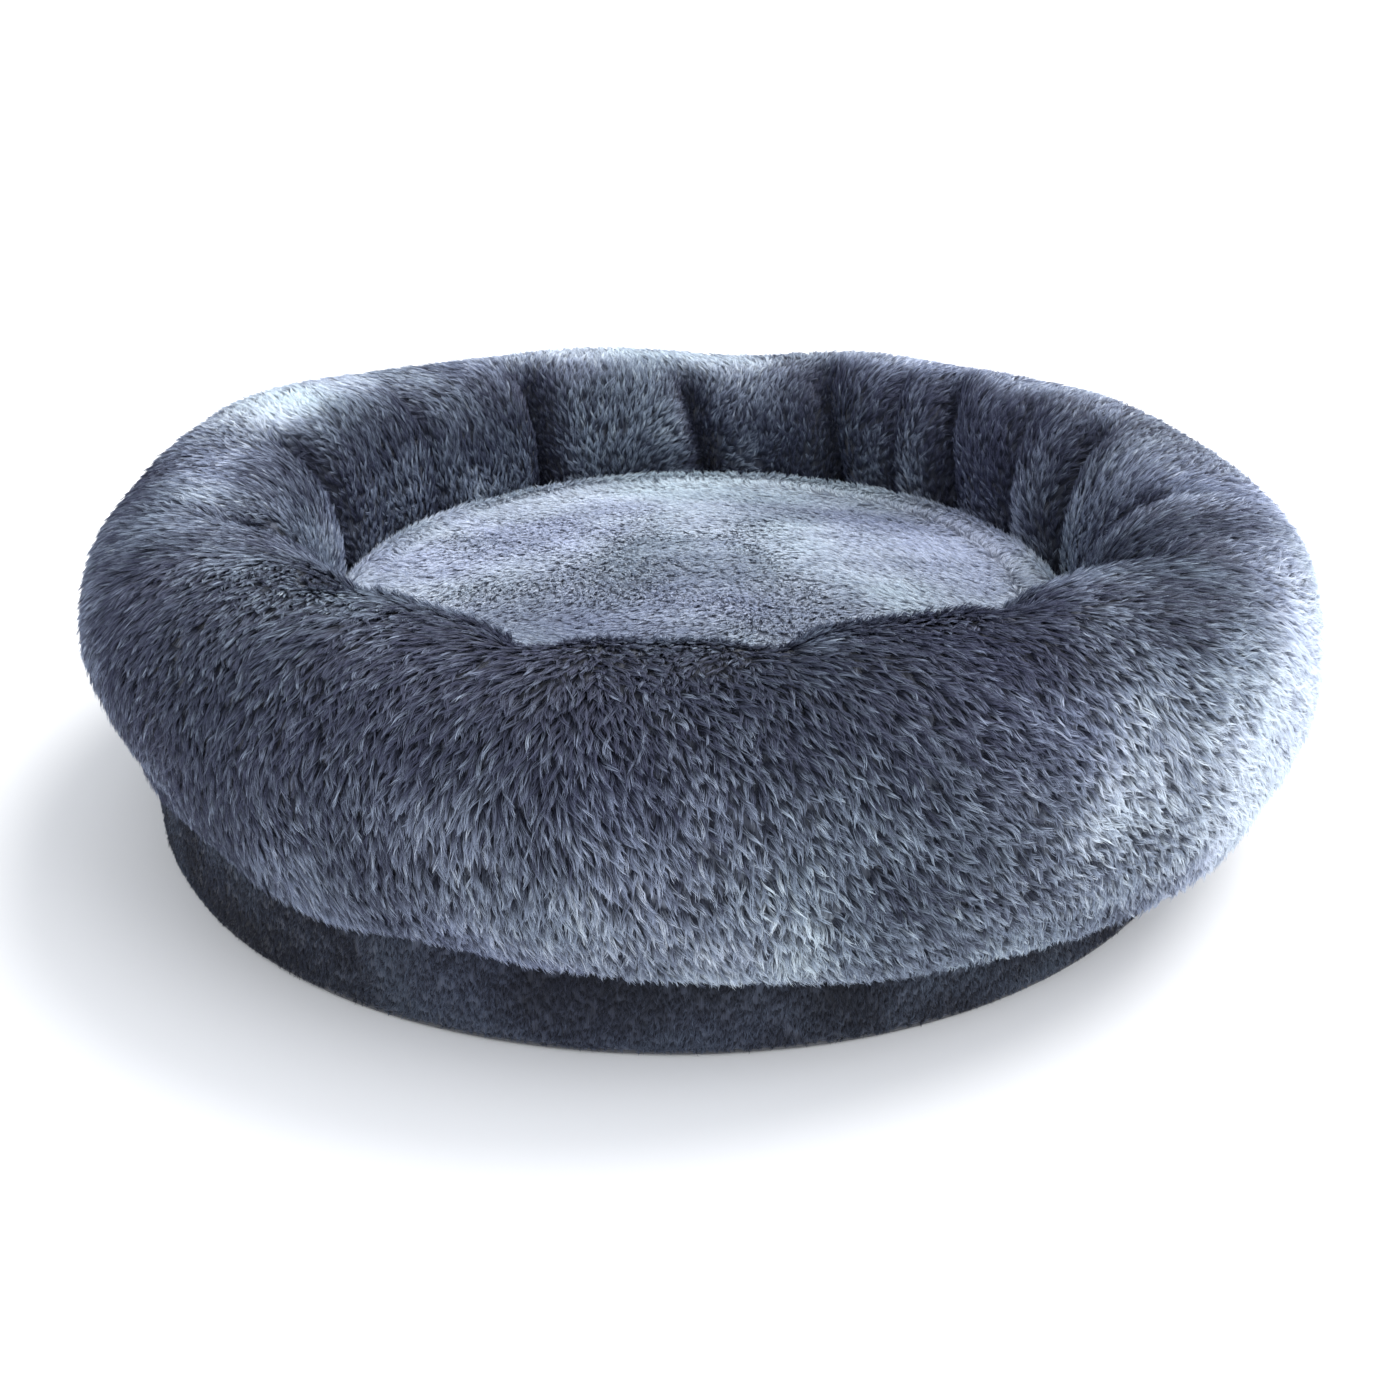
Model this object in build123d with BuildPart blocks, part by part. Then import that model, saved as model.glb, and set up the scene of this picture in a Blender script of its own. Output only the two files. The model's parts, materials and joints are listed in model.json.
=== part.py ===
"""Round plush pet bed: a stuffed bolster ring on a padded base, with a loose cushion in its nest.

Millimetres, +Z up. The origin is the centre of the bed's underside, on the floor, and +Y is the back.
The bed is one sewn body, the cushion lifts out of the nest, and a zip at the back of the base has a
slider that runs round the skirt and a pull that hangs on the slider.
"""

from build123d import *
from math import asin, cos, degrees, radians, sin
import os

# ---------------------------------------------------------------- driving dimensions

outer_radius = 300.0  # the bolster's widest point
bed_height = 154.0  # the bolster's crown
base_radius = 272.0  # outside of the base's skirt

tube_half_width = 57.0  # the bolster's oval section
tube_half_height = 62.0
crown_seam_angle = 112.0  # seam between the two plush panels, in the section, from straight out

plush_thickness = 6.0  # backing cloth with its brushed pile
cloth_thickness = 1.5
dotted_cloth_thickness = 2.5  # non-slip cloth with its printed grip dots
seat_height = 38.0  # top of the base: the floor of the nest

cushion_radius = 184.0
cushion_crown_height = 98.0  # top of the cushion's middle
cushion_edge_height = 86.0  # top of the plush panel where it meets the edge roll
cushion_lift_gap = 0.4  # between the loose cushion and the floor of the nest

thread_radius = 0.6
zip_half_angle = 37.0  # half of the window in the skirt, from the back
back_angle = 90.0  # direction of +Y

# ---------------------------------------------------------------- worked out from them

tube_centre = (outer_radius - tube_half_width, bed_height - tube_half_height)
fill_half_width = tube_half_width - plush_thickness
fill_half_height = tube_half_height - plush_thickness
base_cloth_bottom = seat_height - cloth_thickness
pad_radius = base_radius - plush_thickness


def foot_angle(half_height):
    """Angle below the tube's middle at which an oval of this half height meets the seat."""
    return degrees(asin((tube_centre[1] - seat_height) / half_height))


panel_foot = foot_angle(tube_half_height)
fill_foot = foot_angle(fill_half_height)


def section_plane(angle):
    """Upright plane through the bed's axis: local x points outwards, local y points up."""
    return Plane(
        origin=(0, 0, 0),
        x_dir=Vector(1, 0, 0).rotate(Axis.Z, angle),
        z_dir=Vector(0, -1, 0).rotate(Axis.Z, angle),
    )


def tangent_plane(angle, radius, height):
    """Upright plane that touches a cylinder: local x runs round it, y points up, z points outwards."""
    outwards = Vector(cos(radians(angle)), sin(radians(angle)), 0)
    return Plane(
        origin=outwards * radius + Vector(0, 0, height),
        x_dir=Vector(-outwards.Y, outwards.X, 0),
        z_dir=outwards,
    )


def section_rectangle(inner, outer, bottom, top):
    """Draws a rectangle in the open sketch of a section, from one radius to another."""
    with Locations(((inner + outer) / 2, (bottom + top) / 2)):
        Rectangle(outer - inner, top - bottom)


# ---------------------------------------------------------------- base

with BuildPart() as base_bottom_cloth:
    with BuildSketch():
        Circle(base_radius)
    extrude(amount=dotted_cloth_thickness)
    fillet(base_bottom_cloth.faces().sort_by(Axis.Z)[0].edges(), radius=1.0)

with BuildPart() as base_pad:
    with BuildSketch(Plane.XY.offset(dotted_cloth_thickness)):
        Circle(pad_radius)
    extrude(amount=base_cloth_bottom - dotted_cloth_thickness)

with BuildPart() as base_top_cloth:
    with BuildSketch(Plane.XY.offset(base_cloth_bottom)):
        Circle(base_radius)
    extrude(amount=cloth_thickness)

skirt_corner_radius = 2.5
zip_height = 20.0  # the zip's centre line, above the floor
zip_window_bottom = zip_height - 8.0
zip_window_top = zip_height + 8.0
zip_start_angle = back_angle - zip_half_angle

with BuildPart() as base_skirt:
    with BuildSketch(Plane.XZ) as skirt_section:
        section_rectangle(pad_radius, base_radius, dotted_cloth_thickness, base_cloth_bottom)
        outer_corners = skirt_section.vertices().group_by(Axis.X)[-1]
        fillet(outer_corners, radius=skirt_corner_radius)
    revolve(axis=Axis.Z)
    # the window for the zip, through the skirt at the back
    with BuildSketch(section_plane(zip_start_angle)):
        section_rectangle(pad_radius, base_radius + 1, zip_window_bottom, zip_window_top)
    revolve(axis=Axis.Z, revolution_arc=2 * zip_half_angle, mode=Mode.SUBTRACT)

# ---------------------------------------------------------------- bolster

with BuildPart() as bolster_outer_panel:
    with BuildSketch(Plane.XZ):
        with BuildLine():
            outside = EllipticalCenterArc(
                tube_centre,
                tube_half_width,
                tube_half_height,
                start_angle=-panel_foot,
                arc_size=panel_foot + crown_seam_angle,
            )
            inside = EllipticalCenterArc(
                tube_centre,
                fill_half_width,
                fill_half_height,
                start_angle=-fill_foot,
                arc_size=fill_foot + crown_seam_angle,
            )
            Line(outside @ 0, inside @ 0)
            Line(outside @ 1, inside @ 1)
        make_face()
    revolve(axis=Axis.Z)

with BuildPart() as bolster_inner_panel:
    with BuildSketch(Plane.XZ):
        with BuildLine():
            outside = EllipticalCenterArc(
                tube_centre,
                tube_half_width,
                tube_half_height,
                start_angle=crown_seam_angle,
                arc_size=180 + panel_foot - crown_seam_angle,
            )
            inside = EllipticalCenterArc(
                tube_centre,
                fill_half_width,
                fill_half_height,
                start_angle=crown_seam_angle,
                arc_size=180 + fill_foot - crown_seam_angle,
            )
            Line(outside @ 0, inside @ 0)
            Line(outside @ 1, inside @ 1)
        make_face()
    revolve(axis=Axis.Z)

with BuildPart() as bolster_fibre:
    with BuildSketch(Plane.XZ):
        with BuildLine():
            section = EllipticalCenterArc(
                tube_centre,
                fill_half_width,
                fill_half_height,
                start_angle=-fill_foot,
                arc_size=180 + 2 * fill_foot,
            )
            Line(section @ 0, section @ 1)
        make_face()
    revolve(axis=Axis.Z)

# ---------------------------------------------------------------- seams

tape_width = 8.0
tape_thickness = 1.2
tape_outer_radius = 212.0  # just inside the foot of the bolster's inner panel

with BuildPart() as gathering_tape:
    with BuildSketch(Plane.XY.offset(seat_height)):
        Circle(tape_outer_radius)
        Circle(tape_outer_radius - tape_width, mode=Mode.SUBTRACT)
    extrude(amount=tape_thickness)

undercut_thread_place = (base_radius + 0.7, seat_height - 0.7)

with BuildPart() as undercut_seam_thread:
    with BuildSketch(Plane.XZ):
        with Locations(undercut_thread_place):
            Circle(thread_radius)
    revolve(axis=Axis.Z)

base_thread_radius = 0.45
base_thread_place = (base_radius - 0.3, dotted_cloth_thickness + 0.46)

with BuildPart() as base_seam_thread:
    with BuildSketch(Plane.XZ):
        with Locations(base_thread_place):
            Circle(base_thread_radius)
    revolve(axis=Axis.Z)

label_width = 34.0
label_angle = 150.0  # towards the back left
label_bottom = 8.0
label_face = base_radius + 0.5  # its side towards the skirt
label_thickness = 0.5
label_arc = degrees(label_width / base_radius)

with BuildPart() as care_label:
    with BuildSketch(section_plane(label_angle - label_arc / 2)):
        section_rectangle(label_face, label_face + label_thickness, label_bottom, base_cloth_bottom)
    revolve(axis=Axis.Z, revolution_arc=label_arc)

# ---------------------------------------------------------------- zip at the back of the skirt

tape_face_radius = pad_radius + 1.2  # outer face of the zip's tapes
chain_gap = 0.1  # from the centre line to each tape and coil
coil_width = 2.5
coil_face_radius = tape_face_radius + 2.2
coil_half_angle = 35.5

zip_section = section_plane(zip_start_angle)

with BuildPart() as zip_tape_upper:
    with BuildSketch(zip_section):
        section_rectangle(pad_radius, tape_face_radius, zip_height + chain_gap, zip_window_top)
    revolve(axis=Axis.Z, revolution_arc=2 * zip_half_angle)

with BuildPart() as zip_tape_lower:
    with BuildSketch(zip_section):
        section_rectangle(pad_radius, tape_face_radius, zip_window_bottom, zip_height - chain_gap)
    revolve(axis=Axis.Z, revolution_arc=2 * zip_half_angle)

with BuildPart() as zip_coils:
    with BuildSketch(section_plane(back_angle - coil_half_angle)):
        for coil_bottom in (zip_height + chain_gap, zip_height - chain_gap - coil_width):
            section_rectangle(tape_face_radius, coil_face_radius, coil_bottom, coil_bottom + coil_width)
    revolve(axis=Axis.Z, revolution_arc=2 * coil_half_angle)

stop_angle = 36.0
stop_length = 2.4
stop_width = 6.0
stop_thickness = 2.5

with BuildPart() as zip_stops:
    for side in (-1, 1):
        with BuildSketch(tangent_plane(back_angle + side * stop_angle, tape_face_radius, zip_height)):
            RectangleRounded(stop_length, stop_width, 0.8)
        extrude(amount=stop_thickness)

slider_rest_angle = back_angle + 34.0  # the closed end, towards the back left
slider_length = 11.0
slider_width = 9.2
flange_width = 1.5
flange_bottom = 0.5  # above the tape
plate_bottom = 2.8
plate_top = 4.0
lug_width = 1.0
lug_spacing = 5.4  # between the middles of the two lugs
pin_radius = 0.6
pin_place = (1.5, 6.0)  # the pull's hinge: up from the zip's centre line, out from the tape's face

slider_plane = tangent_plane(slider_rest_angle, tape_face_radius, zip_height)
# the plane across the zip: local x points outwards from the tape, local y points up
across_plane = Plane(origin=slider_plane.origin, x_dir=slider_plane.z_dir, z_dir=-slider_plane.x_dir)

with BuildPart() as zip_slider:
    # the plate that rides over the coils
    with BuildSketch(slider_plane.offset(plate_bottom)):
        RectangleRounded(slider_length, slider_width, 2.0)
    extrude(amount=plate_top - plate_bottom)
    # the side flanges, which run beside the coils
    with BuildSketch(slider_plane.offset(flange_bottom)):
        with Locations(
            (0, (slider_width - flange_width) / 2),
            (0, -(slider_width - flange_width) / 2),
        ):
            Rectangle(slider_length - 4, flange_width)
    extrude(amount=plate_bottom - flange_bottom)
    # the two lugs that carry the pull's pin
    for side in (-1, 1):
        with BuildSketch(across_plane.offset(side * lug_spacing / 2 - lug_width / 2)):
            with Locations(((plate_top + pin_place[1]) / 2, pin_place[0])):
                SlotOverall(pin_place[1] - plate_top + 2.0, 1.8)
        extrude(amount=lug_width)
    with BuildSketch(across_plane.offset(-lug_spacing / 2)):
        with Locations((pin_place[1], pin_place[0])):
            Circle(pin_radius)
    extrude(amount=lug_spacing)

pull_width = 5.2
pull_length = 14.0
pull_thickness = 1.2
eye_radius = 1.6
eye_hole_radius = 0.95
eye_width = 3.6
pull_plane = slider_plane.offset(pin_place[1] - pull_thickness / 2)

with BuildPart() as zip_pull:
    with BuildSketch(across_plane.offset(-eye_width / 2)):
        with Locations((pin_place[1], pin_place[0])):
            Circle(eye_radius)
    extrude(amount=eye_width)
    # the neck and the flat grip that hangs below it
    with BuildSketch(pull_plane):
        with Locations((0, pin_place[0] - 2.5)):
            Rectangle(2.6, 5.0)
        with Locations((0, pin_place[0] - 2.5 - pull_length / 2)):
            RectangleRounded(pull_width, pull_length - 2.0, 1.8)
        with Locations((0, pin_place[0] + 0.6 - pull_length)):
            Circle(1.2, mode=Mode.SUBTRACT)
    extrude(amount=pull_thickness)
    with BuildSketch(across_plane.offset(-eye_width / 2)):
        with Locations((pin_place[1], pin_place[0])):
            Circle(eye_hole_radius)
    extrude(amount=eye_width, mode=Mode.SUBTRACT)

# ---------------------------------------------------------------- cushion

cushion_bottom = seat_height + cushion_lift_gap
foot_radius = 20.0  # rounding at the cushion's foot
bottom_cloth_thickness = 2.0
bag_thickness = 1.0
roll_radius = 8.0
roll_place = (cushion_radius - roll_radius, 82.0)
panel_edge_radius = roll_place[0] - roll_radius
wall_top = 76.0

with BuildPart() as cushion_bottom_panel:
    with BuildSketch(Plane.XZ):
        with BuildLine():
            floor = Line((0, cushion_bottom), (cushion_radius - foot_radius, cushion_bottom))
            corner = JernArc(floor @ 1, floor % 1, foot_radius, 90)
            wall = Line(corner @ 1, (cushion_radius, wall_top))
            inner_wall_radius = cushion_radius - bottom_cloth_thickness
            rim = Line(wall @ 1, (inner_wall_radius, wall_top))
            inner_wall = Line(rim @ 1, (inner_wall_radius, cushion_bottom + foot_radius))
            inner_corner = JernArc(inner_wall @ 1, inner_wall % 1, foot_radius - bottom_cloth_thickness, -90)
            inner_floor = Line(inner_corner @ 1, (0, cushion_bottom + bottom_cloth_thickness))
            Line(inner_floor @ 1, floor @ 0)
        make_face()
    revolve(axis=Axis.Z)

with BuildPart() as cushion_top_panel:
    with BuildSketch(Plane.XZ):
        with BuildLine():
            top = TangentArc(
                (0, cushion_crown_height), (panel_edge_radius, cushion_edge_height), tangent=(1, 0)
            )
            under = TangentArc(
                (0, cushion_crown_height - plush_thickness),
                (panel_edge_radius, cushion_edge_height - plush_thickness),
                tangent=(1, 0),
            )
            Line(top @ 0, under @ 0)
            Line(top @ 1, under @ 1)
        make_face()
    revolve(axis=Axis.Z)

with BuildPart() as cushion_edge_roll:
    with BuildSketch(Plane.XZ):
        with Locations(roll_place):
            Circle(roll_radius)
    revolve(axis=Axis.Z)

bag_shoulder = (inner_wall_radius, 66.0)  # where the bag turns in under the edge roll
bag_top_edge = (panel_edge_radius - 2, cushion_edge_height - plush_thickness - 0.5)


def cushion_filling(inset):
    """Draws the half section of what fills the cushion, this far inside the bottom panel's cloth."""
    half_width = inner_wall_radius - inset
    bottom = cushion_bottom + bottom_cloth_thickness + inset
    bend = foot_radius - bottom_cloth_thickness - inset
    floor_line = Line((0, bottom), (half_width - bend, bottom))
    bend_arc = JernArc(floor_line @ 1, floor_line % 1, bend, 90)
    wall_line = Line(bend_arc @ 1, (half_width, bag_shoulder[1] - inset / 2))
    shoulder_line = Line(wall_line @ 1, (bag_top_edge[0] - inset, bag_top_edge[1] - inset))
    crown_height = cushion_crown_height - plush_thickness - inset
    crown_arc = TangentArc((0, crown_height), shoulder_line @ 1, tangent=(1, 0))
    Line(crown_arc @ 0, floor_line @ 0)


with BuildPart() as cushion_inner_bag:
    with BuildSketch(Plane.XZ):
        with BuildLine():
            cushion_filling(0)
        make_face()
    revolve(axis=Axis.Z)
    with BuildSketch(Plane.XZ):
        with BuildLine():
            cushion_filling(bag_thickness)
        make_face()
    revolve(axis=Axis.Z, mode=Mode.SUBTRACT)

with BuildPart() as cushion_fibre:
    with BuildSketch(Plane.XZ):
        with BuildLine():
            cushion_filling(bag_thickness)
        make_face()
    revolve(axis=Axis.Z)

# ---------------------------------------------------------------- labels and files

pieces = {
    "base_bottom_cloth": base_bottom_cloth,
    "base_skirt": base_skirt,
    "base_pad": base_pad,
    "base_top_cloth": base_top_cloth,
    "bolster_outer_panel": bolster_outer_panel,
    "bolster_inner_panel": bolster_inner_panel,
    "bolster_fibre": bolster_fibre,
    "gathering_tape": gathering_tape,
    "undercut_seam_thread": undercut_seam_thread,
    "base_seam_thread": base_seam_thread,
    "care_label": care_label,
    "zip_tape_upper": zip_tape_upper,
    "zip_tape_lower": zip_tape_lower,
    "zip_coils": zip_coils,
    "zip_stops": zip_stops,
    "zip_slider": zip_slider,
    "zip_pull": zip_pull,
    "cushion_bottom_panel": cushion_bottom_panel,
    "cushion_top_panel": cushion_top_panel,
    "cushion_edge_roll": cushion_edge_roll,
    "cushion_inner_bag": cushion_inner_bag,
    "cushion_fibre": cushion_fibre,
}

os.makedirs("parts", exist_ok=True)
for name, piece in pieces.items():
    piece.part.label = name
    export_step(piece.part, f"parts/{name}.step")
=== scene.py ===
"""Looks of a round plush pet bed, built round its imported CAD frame.

Metres, +Z up, +Y is the back. Angles round the bed are measured from the back, clockwise seen from
above, so +90 degrees is +X, the right-hand side. Turns round the bolster's oval section are measured
from straight out, over the crown.
"""

import json
import math

import bmesh
import bpy
import numpy as np
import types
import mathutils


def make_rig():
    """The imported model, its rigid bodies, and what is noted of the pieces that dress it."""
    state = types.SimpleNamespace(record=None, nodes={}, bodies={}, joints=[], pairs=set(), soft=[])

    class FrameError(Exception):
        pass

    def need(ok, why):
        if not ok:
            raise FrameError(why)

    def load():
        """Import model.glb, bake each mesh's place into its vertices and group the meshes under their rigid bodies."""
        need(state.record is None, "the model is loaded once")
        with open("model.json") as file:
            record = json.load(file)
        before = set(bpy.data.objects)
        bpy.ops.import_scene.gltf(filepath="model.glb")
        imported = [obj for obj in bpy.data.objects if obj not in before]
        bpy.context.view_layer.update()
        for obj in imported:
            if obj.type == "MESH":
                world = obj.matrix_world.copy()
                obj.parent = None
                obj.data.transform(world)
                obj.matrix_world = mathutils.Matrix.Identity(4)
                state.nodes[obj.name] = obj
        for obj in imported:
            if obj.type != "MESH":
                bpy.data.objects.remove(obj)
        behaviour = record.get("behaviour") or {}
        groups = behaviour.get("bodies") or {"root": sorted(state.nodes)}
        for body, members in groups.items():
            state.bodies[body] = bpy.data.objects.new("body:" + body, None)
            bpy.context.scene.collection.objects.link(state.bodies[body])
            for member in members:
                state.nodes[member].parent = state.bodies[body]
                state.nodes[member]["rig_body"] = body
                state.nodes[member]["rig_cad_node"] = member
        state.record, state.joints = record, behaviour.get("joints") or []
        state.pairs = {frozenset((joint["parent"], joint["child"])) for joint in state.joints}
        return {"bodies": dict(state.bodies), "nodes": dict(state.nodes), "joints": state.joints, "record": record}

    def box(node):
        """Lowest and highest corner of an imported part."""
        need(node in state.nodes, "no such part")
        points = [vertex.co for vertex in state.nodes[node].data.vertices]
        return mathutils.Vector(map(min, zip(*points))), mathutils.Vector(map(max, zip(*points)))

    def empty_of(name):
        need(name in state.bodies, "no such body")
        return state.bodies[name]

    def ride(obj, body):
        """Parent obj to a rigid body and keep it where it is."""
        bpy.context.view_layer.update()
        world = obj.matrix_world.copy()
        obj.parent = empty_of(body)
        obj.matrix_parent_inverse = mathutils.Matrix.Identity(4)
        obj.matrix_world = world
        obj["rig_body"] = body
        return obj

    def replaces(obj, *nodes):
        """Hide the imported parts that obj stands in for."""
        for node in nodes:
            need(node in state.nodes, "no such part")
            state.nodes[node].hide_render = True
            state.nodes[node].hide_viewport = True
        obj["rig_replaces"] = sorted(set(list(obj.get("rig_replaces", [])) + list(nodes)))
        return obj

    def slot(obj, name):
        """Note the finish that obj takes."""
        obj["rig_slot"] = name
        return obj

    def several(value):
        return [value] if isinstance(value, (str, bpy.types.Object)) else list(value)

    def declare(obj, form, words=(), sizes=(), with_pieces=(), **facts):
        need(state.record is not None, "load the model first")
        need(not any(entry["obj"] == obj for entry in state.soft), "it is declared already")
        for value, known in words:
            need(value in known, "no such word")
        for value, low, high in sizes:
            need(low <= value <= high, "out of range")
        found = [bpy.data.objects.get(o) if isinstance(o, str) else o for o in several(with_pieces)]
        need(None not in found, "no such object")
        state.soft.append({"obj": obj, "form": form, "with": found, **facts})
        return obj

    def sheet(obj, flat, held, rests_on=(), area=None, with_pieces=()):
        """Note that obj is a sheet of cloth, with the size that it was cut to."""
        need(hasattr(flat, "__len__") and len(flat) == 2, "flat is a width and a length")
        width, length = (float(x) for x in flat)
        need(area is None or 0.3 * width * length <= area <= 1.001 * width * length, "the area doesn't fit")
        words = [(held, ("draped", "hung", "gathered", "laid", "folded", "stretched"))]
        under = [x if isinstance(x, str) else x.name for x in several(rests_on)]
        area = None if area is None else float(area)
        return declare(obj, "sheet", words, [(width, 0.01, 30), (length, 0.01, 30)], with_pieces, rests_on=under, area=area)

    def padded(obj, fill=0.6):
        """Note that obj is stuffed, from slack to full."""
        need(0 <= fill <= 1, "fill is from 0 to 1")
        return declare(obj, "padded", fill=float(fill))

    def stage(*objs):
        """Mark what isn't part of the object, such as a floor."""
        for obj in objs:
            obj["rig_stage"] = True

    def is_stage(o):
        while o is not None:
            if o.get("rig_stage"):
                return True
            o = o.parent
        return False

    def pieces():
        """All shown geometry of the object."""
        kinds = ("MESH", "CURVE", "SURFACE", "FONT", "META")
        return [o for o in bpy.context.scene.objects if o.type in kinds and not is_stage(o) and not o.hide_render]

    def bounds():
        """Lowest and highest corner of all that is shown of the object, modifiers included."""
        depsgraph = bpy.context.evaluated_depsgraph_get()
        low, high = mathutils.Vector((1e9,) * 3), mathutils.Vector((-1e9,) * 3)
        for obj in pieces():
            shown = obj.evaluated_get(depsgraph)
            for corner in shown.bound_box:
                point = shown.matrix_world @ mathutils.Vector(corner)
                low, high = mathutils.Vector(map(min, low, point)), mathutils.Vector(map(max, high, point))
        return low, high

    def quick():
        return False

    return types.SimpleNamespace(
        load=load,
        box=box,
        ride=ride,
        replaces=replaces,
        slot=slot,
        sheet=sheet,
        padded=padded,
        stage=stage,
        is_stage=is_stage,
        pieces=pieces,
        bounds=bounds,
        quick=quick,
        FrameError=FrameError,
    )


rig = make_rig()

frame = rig.load()
cad_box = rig.bounds()
MM = 0.001
SEED = 41


# ---------------------------------------------------------------- sizes read from the frame


def node_points(node):
    """The corners of a CAD node's mesh, one row each."""
    mesh = frame["nodes"][node].data
    points = np.zeros(len(mesh.vertices) * 3)
    mesh.vertices.foreach_get("co", points)
    return points.reshape(-1, 3)


def node_radii(node):
    """Smallest and largest distance of a CAD node's corners from the bed's axis."""
    points = node_points(node)
    distance = np.hypot(points[:, 0], points[:, 1])
    return distance.min(), distance.max()


ring_low, ring_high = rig.box("bolster_outer_panel")
seat_height = ring_low.z
crown_height = ring_high.z
outer_radius = node_radii("bolster_outer_panel")[1]
throat_radius = node_radii("bolster_inner_panel")[0]
seam_radius = node_radii("bolster_outer_panel")[0]
tube_radius = (outer_radius + throat_radius) / 2
tube_half_width = (outer_radius - throat_radius) / 2
plush_thickness = crown_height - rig.box("bolster_fibre")[1].z

outer_points = node_points("bolster_outer_panel")
at_seat = outer_points[outer_points[:, 2] < seat_height + 0.1 * MM]
foot_radius = np.hypot(at_seat[:, 0], at_seat[:, 1]).max()
foot_share = math.sqrt(1 - ((foot_radius - tube_radius) / tube_half_width) ** 2)
tube_height = (seat_height + foot_share * crown_height) / (1 + foot_share)
tube_half_height = crown_height - tube_height
foot_turn = math.asin((tube_height - seat_height) / tube_half_height)
seam_turn = math.acos((seam_radius - tube_radius) / tube_half_width)

base_radius = node_radii("base_skirt")[1]
pad_radius = node_radii("base_pad")[1]
skirt_low, skirt_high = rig.box("base_skirt")

cushion_radius = node_radii("cushion_bottom_panel")[1]
cushion_low, cushion_wall_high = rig.box("cushion_bottom_panel")
roll_low, roll_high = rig.box("cushion_edge_roll")
roll_radius = (roll_high.z - roll_low.z) / 2
roll_middle = (cushion_radius - roll_radius, roll_low.z + roll_radius)
panel_radius = cushion_radius - 2 * roll_radius
cushion_panel_low, cushion_panel_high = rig.box("cushion_top_panel")
cushion_crown = cushion_panel_high.z
panel_edge_height = cushion_panel_low.z + plush_thickness


# ---------------------------------------------------------------- noise


def lattice_hash(x, y, z, seed):
    """A repeatable number from -1 to 1 for each whole-number place."""
    mixed = (
        x.astype(np.int64) * 374761393
        + y.astype(np.int64) * 668265263
        + z.astype(np.int64) * 1274126177
        + seed * 974634777
    ) & 0xFFFFFFFF
    mixed = ((mixed ^ (mixed >> 13)) * 1103515245) & 0xFFFFFFFF
    mixed = ((mixed ^ (mixed >> 16)) * 2246822519) & 0xFFFFFFFF
    mixed = mixed ^ (mixed >> 15)
    return (mixed & 0xFFFFFF) / float(0x7FFFFF) - 1.0


def noise(points, size, seed):
    """Smooth noise from -1 to 1 with features of that size, at each row of points."""
    scaled = np.asarray(points, float) / size
    whole = np.floor(scaled)
    part = scaled - whole
    part = part * part * part * (part * (part * 6 - 15) + 10)
    total = 0.0
    for dx in (0, 1):
        weight_x = part[..., 0] if dx else 1 - part[..., 0]
        for dy in (0, 1):
            weight_y = part[..., 1] if dy else 1 - part[..., 1]
            for dz in (0, 1):
                weight_z = part[..., 2] if dz else 1 - part[..., 2]
                value = lattice_hash(whole[..., 0] + dx, whole[..., 1] + dy, whole[..., 2] + dz, seed)
                total = total + value * weight_x * weight_y * weight_z
    return total


def layered_noise(points, size, seed, layers=3):
    """Noise with finer and fainter layers added."""
    total = 0.0
    strength = 1.0
    for layer in range(layers):
        total = total + strength * noise(points, size / 2**layer, seed + layer)
        strength *= 0.5
    return total


def smooth_step(low, high, value):
    """0 below low, 1 above high, and smooth between."""
    share = np.clip((value - low) / (high - low), 0, 1)
    return share * share * (3 - 2 * share)


# ---------------------------------------------------------------- the bolster's form

# Tucks of the gathered inner wall: place at the crown, slant to the foot, both in degrees, and depth
TUCKS = (
    (-163, 3, 0.8),
    (-137, -4, 0.7),
    (-108, -3, 0.9),
    (-78, -2, 0.8),
    (-52, -2, 0.25),
    (-29, 0.5, 1.0),
    (-3, 4, 0.9),
    (20, 6, 1.0),
    (33, 5, 0.35),
    (42, 8, 1.0),
    (58, 8, 0.4),
    (72, 10, 1.0),
    (98, 6, 0.6),
    (122, 3, 0.9),
    (148, -2, 0.7),
    (173, 2, 0.8),
)
# Swells and dips of the crown: place and width in degrees, and height in millimetres
CROWN_SWELLS = ((-72, 15, 7), (-28, 12, 2), (5, 13, -6), (52, 20, 5), (150, 30, 2), (-160, 35, 1))
TUCK_DEPTH = 21 * MM
TUCK_WIDTH = 6.6 * MM
TUCK_START = math.radians(94)
TUCK_FULL = math.radians(130)
WALL_FOOT = math.radians(215)
PUFF = 3.5 * MM
PUFF_WIDTH = 26 * MM
SKIN_INSET = 4.5 * MM
FOOT_SPREAD = 7 * MM
FOOT_LIFT = 7 * MM
SIDE_TUCK_IN = 14 * MM
SIDE_LET_OUT = 6.5 * MM
SECTION_FULLNESS = 0.93


def angle_between(a, b):
    """Signed difference of two angles, in degrees, from -180 to 180."""
    return (a - b + 180) % 360 - 180


def tuck_shares(place, turn):
    """How deep in a tuck, and how far out on a puff between tucks, the gathered wall is, each 0 to 1."""
    reach = smooth_step(TUCK_START, TUCK_FULL, turn)
    slide = smooth_step(TUCK_START, WALL_FOOT, turn)
    groove = np.zeros(np.broadcast(place, turn).shape)
    puff = np.ones(groove.shape)
    for start, slant, depth in TUCKS:
        away = np.abs(np.radians(angle_between(place, start + slant * slide))) * throat_radius
        groove = np.maximum(groove, depth * np.exp(-((away / TUCK_WIDTH) ** 1.4)))
        puff = np.minimum(puff, 1 - depth + depth * smooth_step(0, PUFF_WIDTH, away))
    return groove * reach, puff * reach


def near_place(place, middle, width):
    """1 at a place round the bed, falling to 0 away from it, with a width in degrees."""
    return np.exp(-((angle_between(place, middle) / width) ** 2))


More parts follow.
